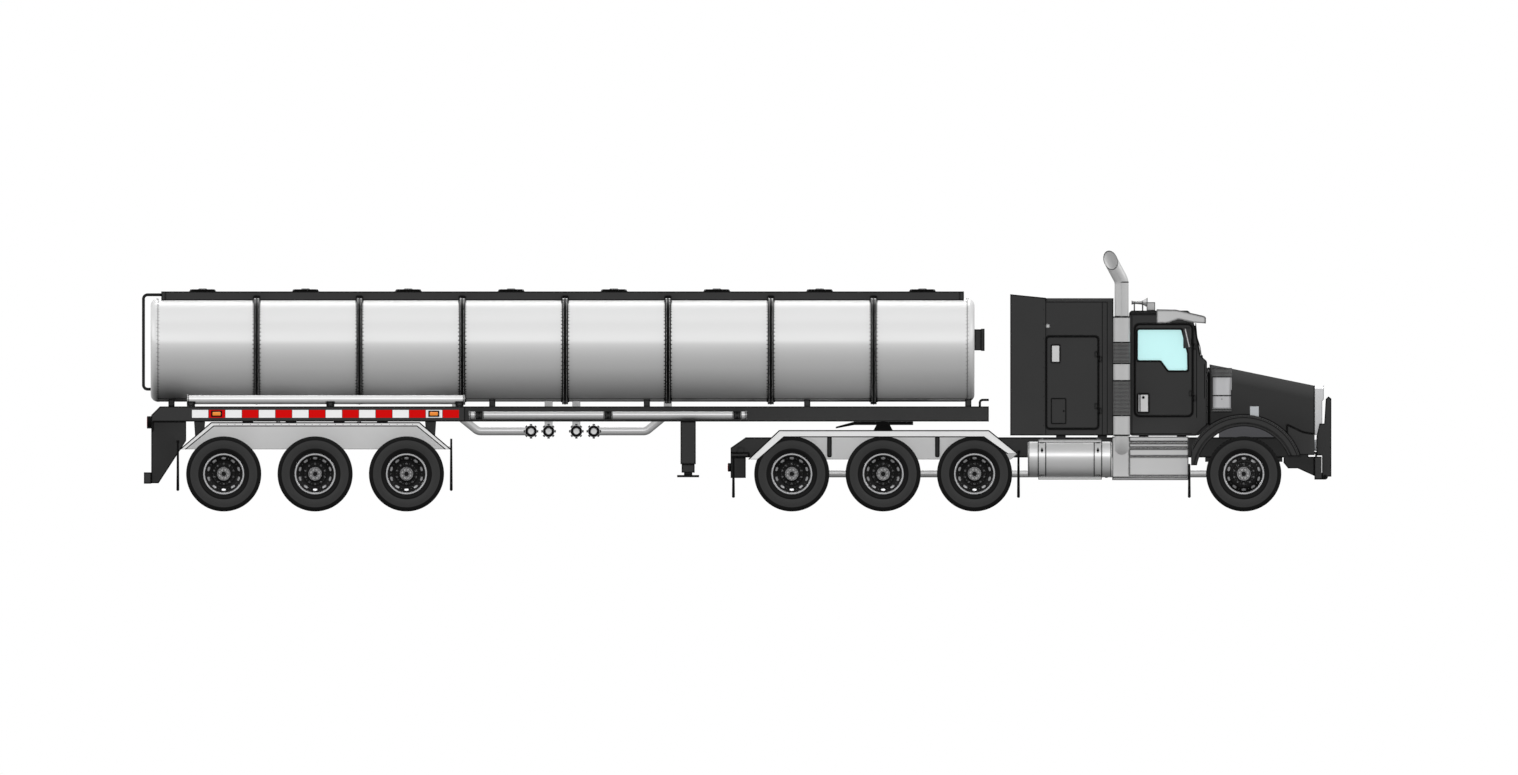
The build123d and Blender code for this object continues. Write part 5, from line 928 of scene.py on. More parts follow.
@dataclass
class TankDressing:
    """The tank's rings, seams and hatch clamps.

    Attributes:
        crown: The radius of the tank's top and bottom arcs.
        handle: A hatch handle's line, along the truck and above the hatch's seat.
        knuckle: How far the head seams stand in from the tank's ends.
        smooth: How many points a quarter of a band has.
    """

    body: str = "trailer"
    front_x: float = 3.447
    length: float = 11.945
    middle_z: float = 2.340
    half_width: float = 1.220
    half_height: float = 0.74875
    crown: float = 3.872
    ring_width: float = 0.076
    ring_height: float = 0.035
    first_ring: float = 1.536
    pitch: float = 1.491
    ring_count: int = 7
    first_hatch: float = 0.754
    hatch_count: int = 8
    hatch_seat: float = 0.042
    clamps: int = 20
    clamp_circle: float = 0.176
    handle: Outline = ((-0.06, 0.090), (-0.05, 0.098), (0.05, 0.098), (0.06, 0.090))
    knuckle: float = 0.105
    rivet_pitch: float = 0.062
    smooth: int = 28

    @property
    def rear_x(self) -> float:
        """The rear head's place."""
        return self.front_x - self.length

    @property
    def flank(self) -> float:
        """The radius of the tank's side arcs."""
        top = 2 * self.crown * self.half_height - self.half_height ** 2 - self.half_width ** 2
        return top / (2 * (self.crown - self.half_width))

    @property
    def lean(self) -> float:
        """The slope at which the crown arc meets the side arc."""
        return asin((self.half_width - self.flank) / (self.crown - self.flank))

    def section(self, proud: float, steps: int) -> Outline:
        """The tank's outline across the truck.

        Args:
            proud: How far it stands off the tank.
            steps: How many points each quarter has.

        Returns:
            Pairs of y and z, round the tank from the top to the left.
        """
        lean = self.lean
        quarter = []
        for step in range(steps):
            turn = pi / 2 * step / steps
            y, z, radius = ((0.0, self.half_height - self.crown, self.crown) if turn < lean
                            else (self.half_width - self.flank, 0.0, self.flank))
            quarter.append((y + (radius + proud) * sin(turn), z + (radius + proud) * cos(turn)))
        half = quarter + [(self.half_width + proud, 0.0)] + [(y, -z) for y, z in reversed(quarter)]
        whole = half + [(-y, z) for y, z in reversed(half[1:-1])]
        return [(y, z + self.middle_z) for y, z in whole]

    def band(self, form: Form, x0: float, x1: float, proud: float, rise: float, finish: Finish) -> None:
        """Adds a band round the tank between two stations.

        Args:
            form: The form that takes it.
            x0: Its rear edge.
            x1: Its front edge.
            proud: Where its foot stands off the tank.
            rise: Its thickness.
            finish: Its finish.
        """
        eased = min(0.003, rise * 0.4)
        foot, shoulder, top = (self.section(proud + up, self.smooth) for up in (0.0, rise - eased, rise))
        rows = [(x0, foot), (x0, shoulder), (x0 + eased, top), (x1 - eased, top), (x1, shoulder), (x1, foot)]
        form.skin([(x, y, z) for x, outline in rows for y, z in outline],
                  girdle(len(rows), len(foot), inward=True), finish)

    def rivets(self, form: Form, x: float, proud: float, radius: float) -> None:
        """Adds a row of rivets round the tank."""
        outline = [Vector(point) for point in self.section(proud, 40)]
        middle = Vector((0, self.middle_z))
        travelled = 0.0
        for here, ahead in zip(outline, outline[1:] + outline[:1]):
            run = (ahead - here).length
            while travelled < run:
                point = here.lerp(ahead, travelled / run)
                out = Vector((ahead.y - here.y, here.x - ahead.x))
                if out.dot(point - middle) < 0:
                    out = -out
                form.rivet((x, *point), (0, *out), radius)
                travelled += self.rivet_pitch
            travelled -= run

    def ring(self, number: int) -> None:
        """Makes one ring stiffener with its two flanges, dark rib and rivet rows."""
        x = self.rear_x + self.first_ring + number * self.pitch
        half, high = self.ring_width / 2, self.ring_height
        form = Form(f"tank_ring_{number + 1}")
        for rear, front, foot, rise, finish in (
                (-half - 0.001, half + 0.001, 0.0, high + 0.001, BLACK_STEEL),
                (0.012 - half, 0.018 - half, high, 0.003, PALE_TRIM),
                (0.026 - half, half - 0.026, high, 0.006, BLACK_STEEL),
                (half - 0.018, half - 0.012, high, 0.003, PALE_TRIM),
                (-half - 0.006, 0.006 - half, 0.0, high + 0.003, BLACK_STEEL),
                (half - 0.006, half + 0.006, 0.0, high + 0.003, BLACK_STEEL)):
            self.band(form, x + rear, x + front, foot, rise, finish)
        for edge in (-1, 1):
            self.rivets(form, x + edge * (half + 0.014), 0.0, 0.010)
        form.piece(self.body)

    def seams(self) -> None:
        """Makes the long weld seams and the riveted head seams."""
        form = Form("tank_seams")
        y = self.crown * sin(self.lean)
        z = self.half_height - self.crown + self.crown * cos(self.lean)
        rear, front = self.rear_x + self.knuckle, self.front_x - self.knuckle
        for across in (-y, y):
            for up in (self.middle_z - z, self.middle_z + z):
                form.rod((rear, across, up), (front, across, up), 0.0055, BLACK_STEEL, 6)
        for x, inward in ((rear, 1), (front, -1)):
            self.band(form, x - 0.004, x + 0.004, -0.001, 0.003, BLACK_STEEL)
            self.rivets(form, x + inward * 0.014, 0.0, 0.006)
            self.rivets(form, x - inward * 0.014, -0.002, 0.006)
        form.piece(self.body)

    def hatches(self) -> None:
        """Makes the clamps, rim and handle of each manhole cover."""
        form = Form("hatch_fittings")
        seat = self.middle_z + self.half_height + self.hatch_seat
        for number in range(self.hatch_count):
            x = self.rear_x + self.first_hatch + number * self.pitch
            for clamp in range(self.clamps):
                turn = tau * (clamp + 0.5) / self.clamps
                out = Vector((cos(turn), sin(turn), 0))
                spot = Vector((x, 0, seat + 0.056)) + out * self.clamp_circle
                form.hexagon(spot, (0, 0, 1), 0.014, 0.024)
                form.rod(spot + Vector((0, 0, 0.018)), spot + Vector((0, 0, 0.034)), 0.006, BLACK_STEEL, 6)
                form.rod(spot - out * 0.014, spot + out * 0.034 - Vector((0, 0, 0.02)), 0.008, BLACK_STEEL, 6)
            form.hoop(seat - 0.004, seat + 0.016, 0.203, 0.004, 0.004, (x, 0, 0), Axis.Z, BLACK_STEEL, 40)
            form.tube([(x + along, 0, seat + up) for along, up in self.handle], 0.005, PLATED, 6)
        form.piece(self.body)

    def build(self) -> None:
        """Dresses the tank and makes its fittings."""
        # The tank's skin carries a painted reflection and shade, pale above and dark below.
        dress(TANK_SKIN, "tank")
        dress(BLACK_STEEL, "manhole_covers")
        dress(DARK_PAINT, "top_rails", "front_box")
        for number in range(self.ring_count):
            self.ring(number)
        self.seams()
        self.hatches()


@dataclass
class TrailerDressing:
    """The striped rails, lamps, flap beads, outlet caps and other small parts of the trailer.

    Attributes:
        gap: The space between two stripes.
        marker_stripes: The stripes that carry the amber lamps.
        flaps: The x and the top of each rubber flap.
        cover: The wheel covers' outline.
        saddles: Where the hose tubes' saddles stand.
        clamps: Where the discharge pipes' clamps stand.
    """

    body: str = "trailer"
    stripe_x: float = -7.902
    stripe_pitch: float = 0.2423
    stripes: int = 16
    stripe_low: float = 1.359
    stripe_high: float = 1.473
    rail_y: float = 1.245
    gap: float = 0.007
    marker_stripes: tuple[int, int] = (1, 14)
    marker_shift: float = 0.004
    marker_y: float = 1.2636
    marker_z: float = 1.417
    tail_ys: tuple[float, ...] = (-1.020, -0.780, 0.780, 1.020)
    tail_z: float = 1.293
    outlets: tuple[float, ...] = (-2.983, -2.728, -2.326, -2.073)
    outlet_z: float = 1.163
    cap_radius: float = 0.082
    cap_length: float = 0.046
    disc_height: float = 0.014
    tabs: int = 8
    flaps: Outline = ((-8.104, 1.000), (-4.140, 1.056))
    flap_low: float = 0.300
    cover: Outline = ((-8.068, 0.902), (-7.619, 1.287), (-4.600, 1.287), (-4.151, 0.902))
    cover_lip: float = 0.047
    cover_y: float = 1.2615
    cover_bolts: int = 26
    bolt_x: float = -7.50
    bolt_pitch: float = 0.112
    bolt_z: float = 1.262
    saddles: tuple[float, ...] = (-7.9135, -5.8925, -4.0205)
    clamps: tuple[float, ...] = (-3.7345, -1.866, 0.004)

    def tape(self) -> None:
        """Makes the red and white blocks along both side rails."""
        form = Form("rail_tape")
        for side in Side:
            for number in range(self.stripes):
                x0 = self.stripe_x + number * self.stripe_pitch + self.gap / 2
                form.block((x0, side * (self.rail_y - 0.001), self.stripe_low),
                           (x0 + self.stripe_pitch - self.gap, side * (self.rail_y + 0.0015), self.stripe_high),
                           RED_TAPE if number % 2 else WHITE_TAPE, 0.0005)
        form.piece(self.body)

    def lamps(self) -> None:
        """Makes the amber side lenses with their two screws."""
        form = Form("lamp_lenses")
        rows = ((0.058, 0.026, 0.0), (0.054, 0.022, 0.004), (0.030, 0.010, 0.0055))
        for side in Side:
            face = side * self.marker_y
            for stripe in self.marker_stripes:
                x = self.stripe_x + (stripe + 0.5) * self.stripe_pitch - self.marker_shift
                points = [(x + a, face + side * out, self.marker_z + b) for along, up, out in rows
                          for a, b in rounded_box((-along, along, -up, up), 0.008, 2)]
                count = len(points) // len(rows)
                faces = girdle(len(rows), count) + [tuple(range(len(points) - count, len(points)))]
                form.skin(points, faces if side is Side.RIGHT else [tuple(reversed(f)) for f in faces], AMBER)
                for a in (-0.070, 0.070):
                    form.rivet((x + a, face, self.marker_z), (0, side, 0), 0.005, PLATED, 7)
        form.piece(self.body)

    def tail_lenses(self) -> None:
        """Makes the ribbed round lenses of the tail lamps."""
        form = Form("tail_lenses")
        low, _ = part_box("trailer_lamps")
        for y in self.tail_ys:
            for step in range(4):
                outer = 0.080 - step * 0.020
                rib = [(outer, 0.0), (outer - 0.004, 0.003), (outer - 0.016, 0.003), (outer - 0.020, 0.0)]
                form.turned(rib, (low.x, y, self.tail_z), Axis.X, RED_LENS if step < 3 else AMBER, 32, along=-1)
        form.piece(self.body)

    def outlet_faces(self) -> None:
        """Makes the rims, tab bolts and pale centres of the capped outlets."""
        form = Form("outlet_faces")
        low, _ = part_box("discharge_pipes")
        cap, rim = low.y + self.disc_height, self.cap_radius
        for x in self.outlets:
            form.turned([(rim + 0.003, -self.cap_length), (rim + 0.003, -0.004), (rim - 0.004, 0.002),
                         (0.056, 0.002)], (x, cap, self.outlet_z), Axis.Y, BLACK_STEEL, 40, along=-1)
            for tab in range(self.tabs):
                turn = tau * tab / self.tabs
                out = Vector((cos(turn), 0, sin(turn)))
                spot = Vector((x, cap + 0.018, self.outlet_z)) + out * 0.090
                form.hexagon(spot, out, 0.019, 0.016)
                form.rivet(spot + Vector((0, -0.016, 0)), (0, -1, 0), 0.008)
            for profile, out, finish in (
                    ([(0.057, 0.0), (0.055, 0.003), (0.050, 0.004)], 0.0015, BLACK_STEEL),
                    ([(0.050, 0.0), (0.048, 0.003), (0.044, 0.004), (0.040, 0.002), (0.0, 0.003)], 0.0005,
                     PALE_TRIM)):
                form.turned(profile, (x, low.y + out, self.outlet_z), Axis.Y, finish, 28, along=-1)
        form.piece(self.body)

    def straps(self) -> None:
        """Makes the saddles of the hose tubes and the clamps of the discharge pipes, with their bolts."""
        form = Form("hose_tube_saddles")
        for side in Side:
            out = (0, side, 0)
            for x in self.saddles:
                form.block((x - 0.059, side * 1.178, 1.5245), (x + 0.059, side * 1.242, 1.590), DARK_PAINT,
                           0.004)
                for edge in (-0.038, 0.038):
                    form.rivet((x + edge, side * 1.242, 1.557), out, 0.009)
            for x in self.clamps:
                form.block((x - 0.052, side * 0.531, 1.336), (x + 0.052, side * 0.662, 1.452), DARK_PAINT,
                           0.006)
                for up in (-0.035, 0.035):
                    form.hexagon((x, side * 0.662, 1.394 + up), out, 0.014, 0.010)
        form.piece(self.body)

    def flap_bolts(self) -> None:
        """Makes the flaps' beaded edges and the beads and bolts along the cover lips."""
        form = Form("cover_bolts")
        for side in Side:
            form.lipped_cover(self.cover, self.cover_lip, side * self.cover_y)
            foot = self.flap_low + 0.012
            for x, top in self.flaps:
                form.tube([(x, side * 1.229, top), (x, side * 1.229, foot), (x, side * 0.670, foot)], 0.015,
                          RUBBER, 10)
            for step in range(self.cover_bolts):
                x = self.bolt_x + step * self.bolt_pitch
                form.rivet((x, side * 1.2625, self.bolt_z), (0, side, 0), 0.006)
        form.piece(self.body)

    def build(self) -> None:
        """Dresses the trailer and makes its fittings."""
        dress(DARK_PAINT, "trailer_frame", "landing_gear")
        # The wheel covers are lightened as painted light against their shade.
        dress(COVER_PANEL_PAINTED_LIGHT, "trailer_fenders")
        dress(RUBBER, "trailer_mud_flaps")
        dress(DARK_PLAIN, "trailer_axles")
        # The hose tubes and discharge pipes carry a painted reflection and shade.
        dress(TUBE_SKIN, "hose_tubes", "discharge_pipes")
        dress(BLACK_STEEL, "trailer_lamps")
        for make in (self.tape, self.lamps, self.tail_lenses, self.outlet_faces, self.straps, self.flap_bolts):
            make()


@dataclass
class SleeperDressing:
    """The sleeper's door seals, vent, hatch frame and panel lines."""

    face_y: float = 1.065
    door: Box = (4.490, 5.241, 1.202, 2.537)
    corner: float = 0.045
    vent: Box = (4.562, 4.686, 2.162, 2.414)
    hatch: Box = (4.562, 4.771, 1.276, 1.638)
    frame_corner: float = 0.012
    fairing_x: float = 4.481
    fairing_top: float = 3.095
    front_lines: tuple[float, float] = (5.300, 5.372)
    roof_line_z: float = 3.037
    foot_z: float = 1.106
    rivets: int = 9
    rivet_low: float = 1.25
    rivet_pitch: float = 0.21

    def door_trim(self, side: Side) -> None:
        """Makes the seal round a side door, its vent and its hatch frame."""
        form = Form(f"side_door_seal_{side.word}")
        face = side * self.face_y
        form.seal(rounded_box(self.door, self.corner, 6), face, 0.0085)
        form.seal(rounded_box(self.hatch, self.frame_corner, 3), face + side * 0.002, 0.0065)
        _, x1, z0, z1 = self.hatch
        form.hexagon((x1 - 0.03, face + side * 0.003, (z0 + z1) / 2), (0, side, 0), 0.014, 0.005)
        form.seal(rounded_box(self.vent, self.frame_corner, 3), face + side * 0.005, 0.006)
        x0, x1, z0, z1 = self.vent
        form.block((x0 + 0.006, face + side * 0.004, z0 + 0.006),
                   (x1 - 0.006, face + side * 0.0085, z1 - 0.006), PALE_TRIM, 0.002)
        form.piece(f"side_door_{side.word}")

    def lines(self) -> None:
        """Makes the narrow joints between the sleeper's panels."""
        form = Form("sleeper_joints")
        runs = [((self.fairing_x, self.foot_z), (self.fairing_x, self.fairing_top))]
        runs += [((x, self.foot_z), (x, self.roof_line_z)) for x in self.front_lines]
        runs += [((self.fairing_x, self.roof_line_z), (self.front_lines[1], self.roof_line_z))]
        for side in Side:
            face = side * (self.face_y - 0.001)
            for (xa, za), (xb, zb) in runs:
                form.rod((xa, face, za), (xb, face, zb), 0.0055, RUBBER, 6)
            for step in range(self.rivets):
                z = self.rivet_low + step * self.rivet_pitch
                form.rivet((self.fairing_x - 0.03, side * self.face_y, z), (0, side, 0), 0.006)
        form.piece("tractor")

    def build(self) -> None:
        """Dresses the sleeper."""
        dress(DARK_PAINT, "sleeper_shell", "sleeper_door_left", "sleeper_door_right")
        for side in Side:
            self.door_trim(side)
        self.lines()


@dataclass
class CabDressing:
    """The cab's seals, handles, wipers, mirrors and seats.

    Attributes:
        screen_top: The x and z of the windscreen's upper edge.
        screen_foot: The x and z of its lower edge.
        screen_shares: The shares of the way down at which its seal runs across.
        joints: The ends of the panel lines as x and z, with each line's radius.
        mirror_back: The mirror glass as its least and greatest distance from the middle, and z.
        softness: How square the cushions are; 1 would be an ellipsoid.
    """

    face_y: float = 0.900
    door: Box = (5.773, 6.608, 1.385, 2.717)
    door_corner: float = 0.070
    window: Outline = ((5.805, 2.182), (6.146, 2.182), (6.253, 2.036), (6.545, 2.036), (6.540, 2.294),
                       (6.453, 2.646), (5.805, 2.646))
    window_corner: float = 0.035
    handle: Box = (5.817, 5.973, 1.437, 1.704)
    handle_proud: float = 0.024
    mirror_back: Box = (1.118, 1.262, 2.400, 2.632)
    mirror_edge: Outline = ((6.552, 2.382), (6.574, 2.382), (6.512, 2.652), (6.490, 2.652))
    screen_top: Pair = (6.633, 2.717)
    screen_foot: Pair = (6.719, 2.266)
    screen_half: float = 0.800
    screen_shares: Pair = (0.06, 0.97)
    joints: tuple = (((5.70, 2.862), (6.09, 2.862), 0.006), ((5.73, 1.12), (5.73, 2.84), 0.006),
                     ((6.668, 1.36), (6.668, 2.35), 0.006), ((6.782, 1.64), (6.782, 2.14), 0.006),
                     ((5.72, 1.130), (6.60, 1.130), 0.005))
    seat_y: float = 0.430
    seat_x: float = 6.000
    seat_z: float = 1.480
    softness: float = 0.32
    wheel_radius: float = 0.215

    def door_trim(self, side: Side) -> None:
        """Makes the door seal, the window seal and the grab plate with its lock."""
        form = Form(f"door_seal_{side.word}")
        face = side * self.face_y
        form.seal(rounded_box(self.door, self.door_corner, 6), face, 0.012, 8)
        form.seal(rounded(self.window, self.window_corner, 5), face - side * 0.003, 0.012, 8)
        x0, x1, z0, z1 = self.handle
        out = face + side * self.handle_proud
        for near, far, finish in ((x0 + 0.034, x1 - 0.006, PALE_TRIM), (x0 + 0.006, x0 + 0.026, SOFT_PLATED)):
            form.block((near, out - side * 0.001, z0 + 0.008), (far, out + side * 0.003, z1 - 0.008), finish,
                       0.002)
        form.seal(rounded_box(self.handle, 0.012, 3), out, 0.0055)
        form.turned([(0.017, 0.0), (0.017, 0.004), (0.013, 0.005), (0.006, 0.003), (0.0, 0.003)],
                    (x0 + 0.078, out + side * 0.002, z1 - 0.05), Axis.Y, BLACK_STEEL, 16, along=side)
        form.piece(f"cab_door_{side.word}")

    def mirror(self, side: Side) -> None:
        """Makes the mirror's glass with its dark rim, facing back."""
        form = Form(f"mirror_glass_{side.word}")
        low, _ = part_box(f"mirror_{side.word}")
        near, far, z0, z1 = self.mirror_back
        y0, y1 = sorted((side * near, side * far))
        form.plate(rounded(self.mirror_edge, 0.006, 3), side * 1.289, side * 1.2935, PALE_TRIM)
        form.block((low.x - 0.0005, y0, z0), (low.x + 0.004, y1, z1), SOFT_PLATED, 0.002)
        loop = rounded_box((y0, y1, z0, z1), 0.02, 4)
        form.tube([(low.x + 0.003, y, z) for y, z in loop], 0.004, RUBBER, 6, closed=True)
        form.piece(f"cab_door_{side.word}")

    def screen(self) -> None:
        """Makes the windscreen's seal, its middle strip and the wipers."""
        form = Form("screen_seal_and_wipers")
        (top_x, top_z), (foot_x, foot_z) = self.screen_top, self.screen_foot
        run_x, run_z = foot_x - top_x, foot_z - top_z
        (x0, z0), (x1, z1) = ((top_x + run_x * share, top_z + run_z * share) for share in self.screen_shares)
        y = self.screen_half
        form.tube([(x0, -y, z0), (x0, y, z0), (x1, y, z1), (x1, -y, z1)], 0.011, RUBBER, 8, closed=True)
        form.rod((x0 - 0.02, 0, z0), (x1 - 0.02, 0, z1), 0.008, RUBBER, 8)
        for across in (-1, 1):
            pivot = Vector((x1 + 0.022, across * 0.42, z1 - 0.03))
            tip = Vector((x1 + 0.006 - 0.05, across * 0.30, z1 + 0.25))
            form.turned([(0.0, 0.02), (0.016, 0.02), (0.018, 0.0), (0.018, -0.02)], pivot, Axis.X,
                        BLACK_STEEL, 12)
            form.tube([pivot, pivot.lerp(tip, 0.5) + Vector((0.012, 0, 0)), tip], 0.006, BLACK_STEEL, 6)
            blade = Vector((0.02, across * 0.10, -0.22)) * 0.9
            form.rod(tip - blade, tip + blade * 0.25, 0.007, RUBBER, 6)
        form.piece("tractor")

    def bulkhead(self) -> None:
        """Makes the board behind the engine bay, with its rubber lip under the hood's rear edge."""
        form = Form("engine_bay_board")
        outline = [(6.600, 1.104), (6.700, 1.104), (6.860, 1.235), (6.860, 2.020), (6.8195, 2.020),
                   (6.8195, 1.290), (6.720, 1.200), (6.600, 1.150)]
        form.plate(outline, -0.550, 0.550, DARK_PLAIN)
        form.plate([(6.8195, 2.018), (6.860, 2.018), (6.860, 2.084), (6.8195, 2.084)], -0.330, 0.330,
                   DARK_PLAIN)
        for across in (-1, 1):
            form.tube([(6.842, across * y, z) for y, z in ((0.552, 1.260), (0.552, 2.016), (0.340, 2.060),
                                                           (0.0, 2.082))], 0.010, RUBBER, 8)
        form.piece("tractor")

    def lines(self) -> None:
        """Makes the joints of the roof, the door posts, the cowl and the sill."""
        form = Form("cab_joints")
        for side in Side:
            face = side * (self.face_y - 0.001)
            for (xa, za), (xb, zb), radius in self.joints:
                form.rod((xa, face, za), (xb, face, zb), radius, RUBBER, 6)
        form.piece("tractor")

    def cushion(self, form: Form, middle: Point, half: Point, lean: float, channels: int) -> None:
        """Adds a soft closed cushion with sewn channels.

        Args:
            form: The form that takes it.
            middle: Its middle.
            half: Half its size along x, y and z before it leans.
            lean: How far it leans back, in radians.
            channels: How many padded channels it has across.
        """
        rows, columns = 20, 36
        turn = Matrix.Rotation(-lean, 4, "Y")

        def soft(value: float) -> float:
            """The value drawn towards the box's faces."""
            return abs(value) ** self.softness * (1 if value >= 0 else -1)

        points = []
        for row in range(rows + 1):
            rise = -pi / 2 + pi * row / rows
            for column in range(columns):
                spin = tau * column / columns
                x, y, z = soft(cos(rise)) * soft(cos(spin)), soft(cos(rise)) * soft(sin(spin)), soft(sin(rise))
                pinch = 1.0 - 0.07 * abs(sin(y * channels * pi / 2)) ** 8
                plump = pinch * (1.0 + 0.10 * (1 - x * x) * (1 - y * y))
                thick = (1, plump) if lean < 0.01 else (plump, 1)
                spot = Vector((x * half[0] * thick[0], y * half[1], z * half[2] * thick[1]))
                points.append(Vector(middle) + turn @ spot)
        form.skin(points, girdle(rows + 1, columns), CLOTH)

    def seats(self) -> None:
        """Makes the two seats, in place of the plain solids of the cab's inside."""
        form = Form("cab_seats")
        x, z = self.seat_x, self.seat_z
        for y in (-self.seat_y, self.seat_y):
            self.cushion(form, (x + 0.25, y, z + 0.075), (0.235, 0.235, 0.075), 0.0, 5)
            self.cushion(form, (x + 0.015, y, z + 0.43), (0.065, 0.185, 0.34), radians(-10), 4)
            self.cushion(form, (x - 0.07, y, z + 0.80), (0.045, 0.12, 0.07), radians(-10), 1)
            form.block((x + 0.13, y - 0.11, 1.149), (x + 0.35, y + 0.11, z + 0.01), TRIM, 0.01)
            form.turned([(0.15, 1.150), (0.15, 1.175), (0.12, 1.19)], (x + 0.24, y, 0), Axis.Z, TRIM, 24)
        form.piece("tractor", ("cab_interior",))

    def dash_and_bunk(self) -> None:
        """Makes the dash with its dials, the steering wheel and the bunk."""
        form = Form("cab_dash_and_bunk")
        dash = [(6.560, 1.600), (6.769, 1.600), (6.769, 1.990), (6.610, 1.990), (6.560, 1.940)]
        form.plate(rounded(dash, 0.02, 3), -0.780, 0.780, TRIM)
        for step in range(5):
            form.turned([(0.045, 0.0), (0.045, 0.008), (0.039, 0.008), (0.037, 0.003), (0.0, 0.003)],
                        (6.562, 0.25 + step * 0.1, 1.86), Axis.X, PLATED, 24, along=-1)
        hub = Vector((6.420, self.seat_y, 1.960))
        tilt = Matrix.Rotation(radians(-35), 4, "Y")

        def rim(turn: float, radius: float) -> Vector:
            """The point of the steering wheel at a turn and radius."""
            return hub + tilt @ Vector((radius * cos(turn), radius * sin(turn), 0))

        form.tube([rim(tau * s / 40, self.wheel_radius) for s in range(40)], 0.015, TRIM, 8, closed=True)
        for spoke in range(3):
            form.rod(hub, rim(tau * spoke / 3 + pi / 2, self.wheel_radius - 0.005), 0.010, TRIM, 8)
        form.rod(hub + tilt @ Vector((0, 0, 0.015)), hub - tilt @ Vector((0, 0, 0.28)), 0.026, TRIM, 12)
        self.cushion(form, (4.763, 0, 1.560), (0.275, 1.02, 0.09), 0.0, 7)
        form.block((4.486, -1.028, 1.140), (5.040, 1.028, 1.480), TRIM, 0.01)
        form.piece("tractor")

    def build(self) -> None:
        """Dresses the cab."""
        dress(DARK_PAINT, "cab_shell", "door_left", "door_right")
        dress(GLASS, "cab_glass", "door_glass_left", "door_glass_right")
        dress(LIGHT_PANEL, "sun_visor")
        dress(STACK_STEEL, "roof_horns")
        dress(DARK_PLAIN, "mirror_left", "mirror_right")
        for side in Side:
            self.door_trim(side)
            self.mirror(side)
        for make in (self.screen, self.bulkhead, self.lines, self.seats, self.dash_and_bunk):
            make()


@dataclass
class StackDressing:
    """The exhaust stacks' punched guards and clamps.

    Attributes:
        zones: The least and greatest z of each punched guard.
        clamps: Each clamp's z and radius.
    """

    x: float = 5.580
    y: float = 1.135
    guard_radius: float = 0.125
    zones: Outline = ((1.391, 1.897), (2.146, 2.452))
    clamps: Outline = ((1.105, 0.1215), (1.391, 0.1255), (1.897, 0.1255), (2.146, 0.1255), (2.452, 0.1255),
                       (2.820, 0.1215), (3.326, 0.1035))

    def build(self) -> None:
        """Dresses both stacks."""
        dress(STACK_STEEL, "exhaust_stacks")
        for side in Side:
            form = Form(f"stack_guard_{side.word}")
            for low, high in self.zones:
                form.hoop(low, high, self.guard_radius, 0.003, 0.003, ORIGIN, Axis.Z, STACK_MESH, 64)
            for z, radius in self.clamps:
                form.hoop(z - 0.009, z + 0.009, radius, 0.004, 0.002, ORIGIN, Axis.Z, BLACK_STEEL)
            for z, radius in self.clamps[1:6]:
                form.hexagon((0.0, side * (radius - 0.001), z), (0, side, 0), 0.009, 0.008, SOFT_PLATED)
            form.piece("tractor", (), (self.x, side * self.y, 0.0))


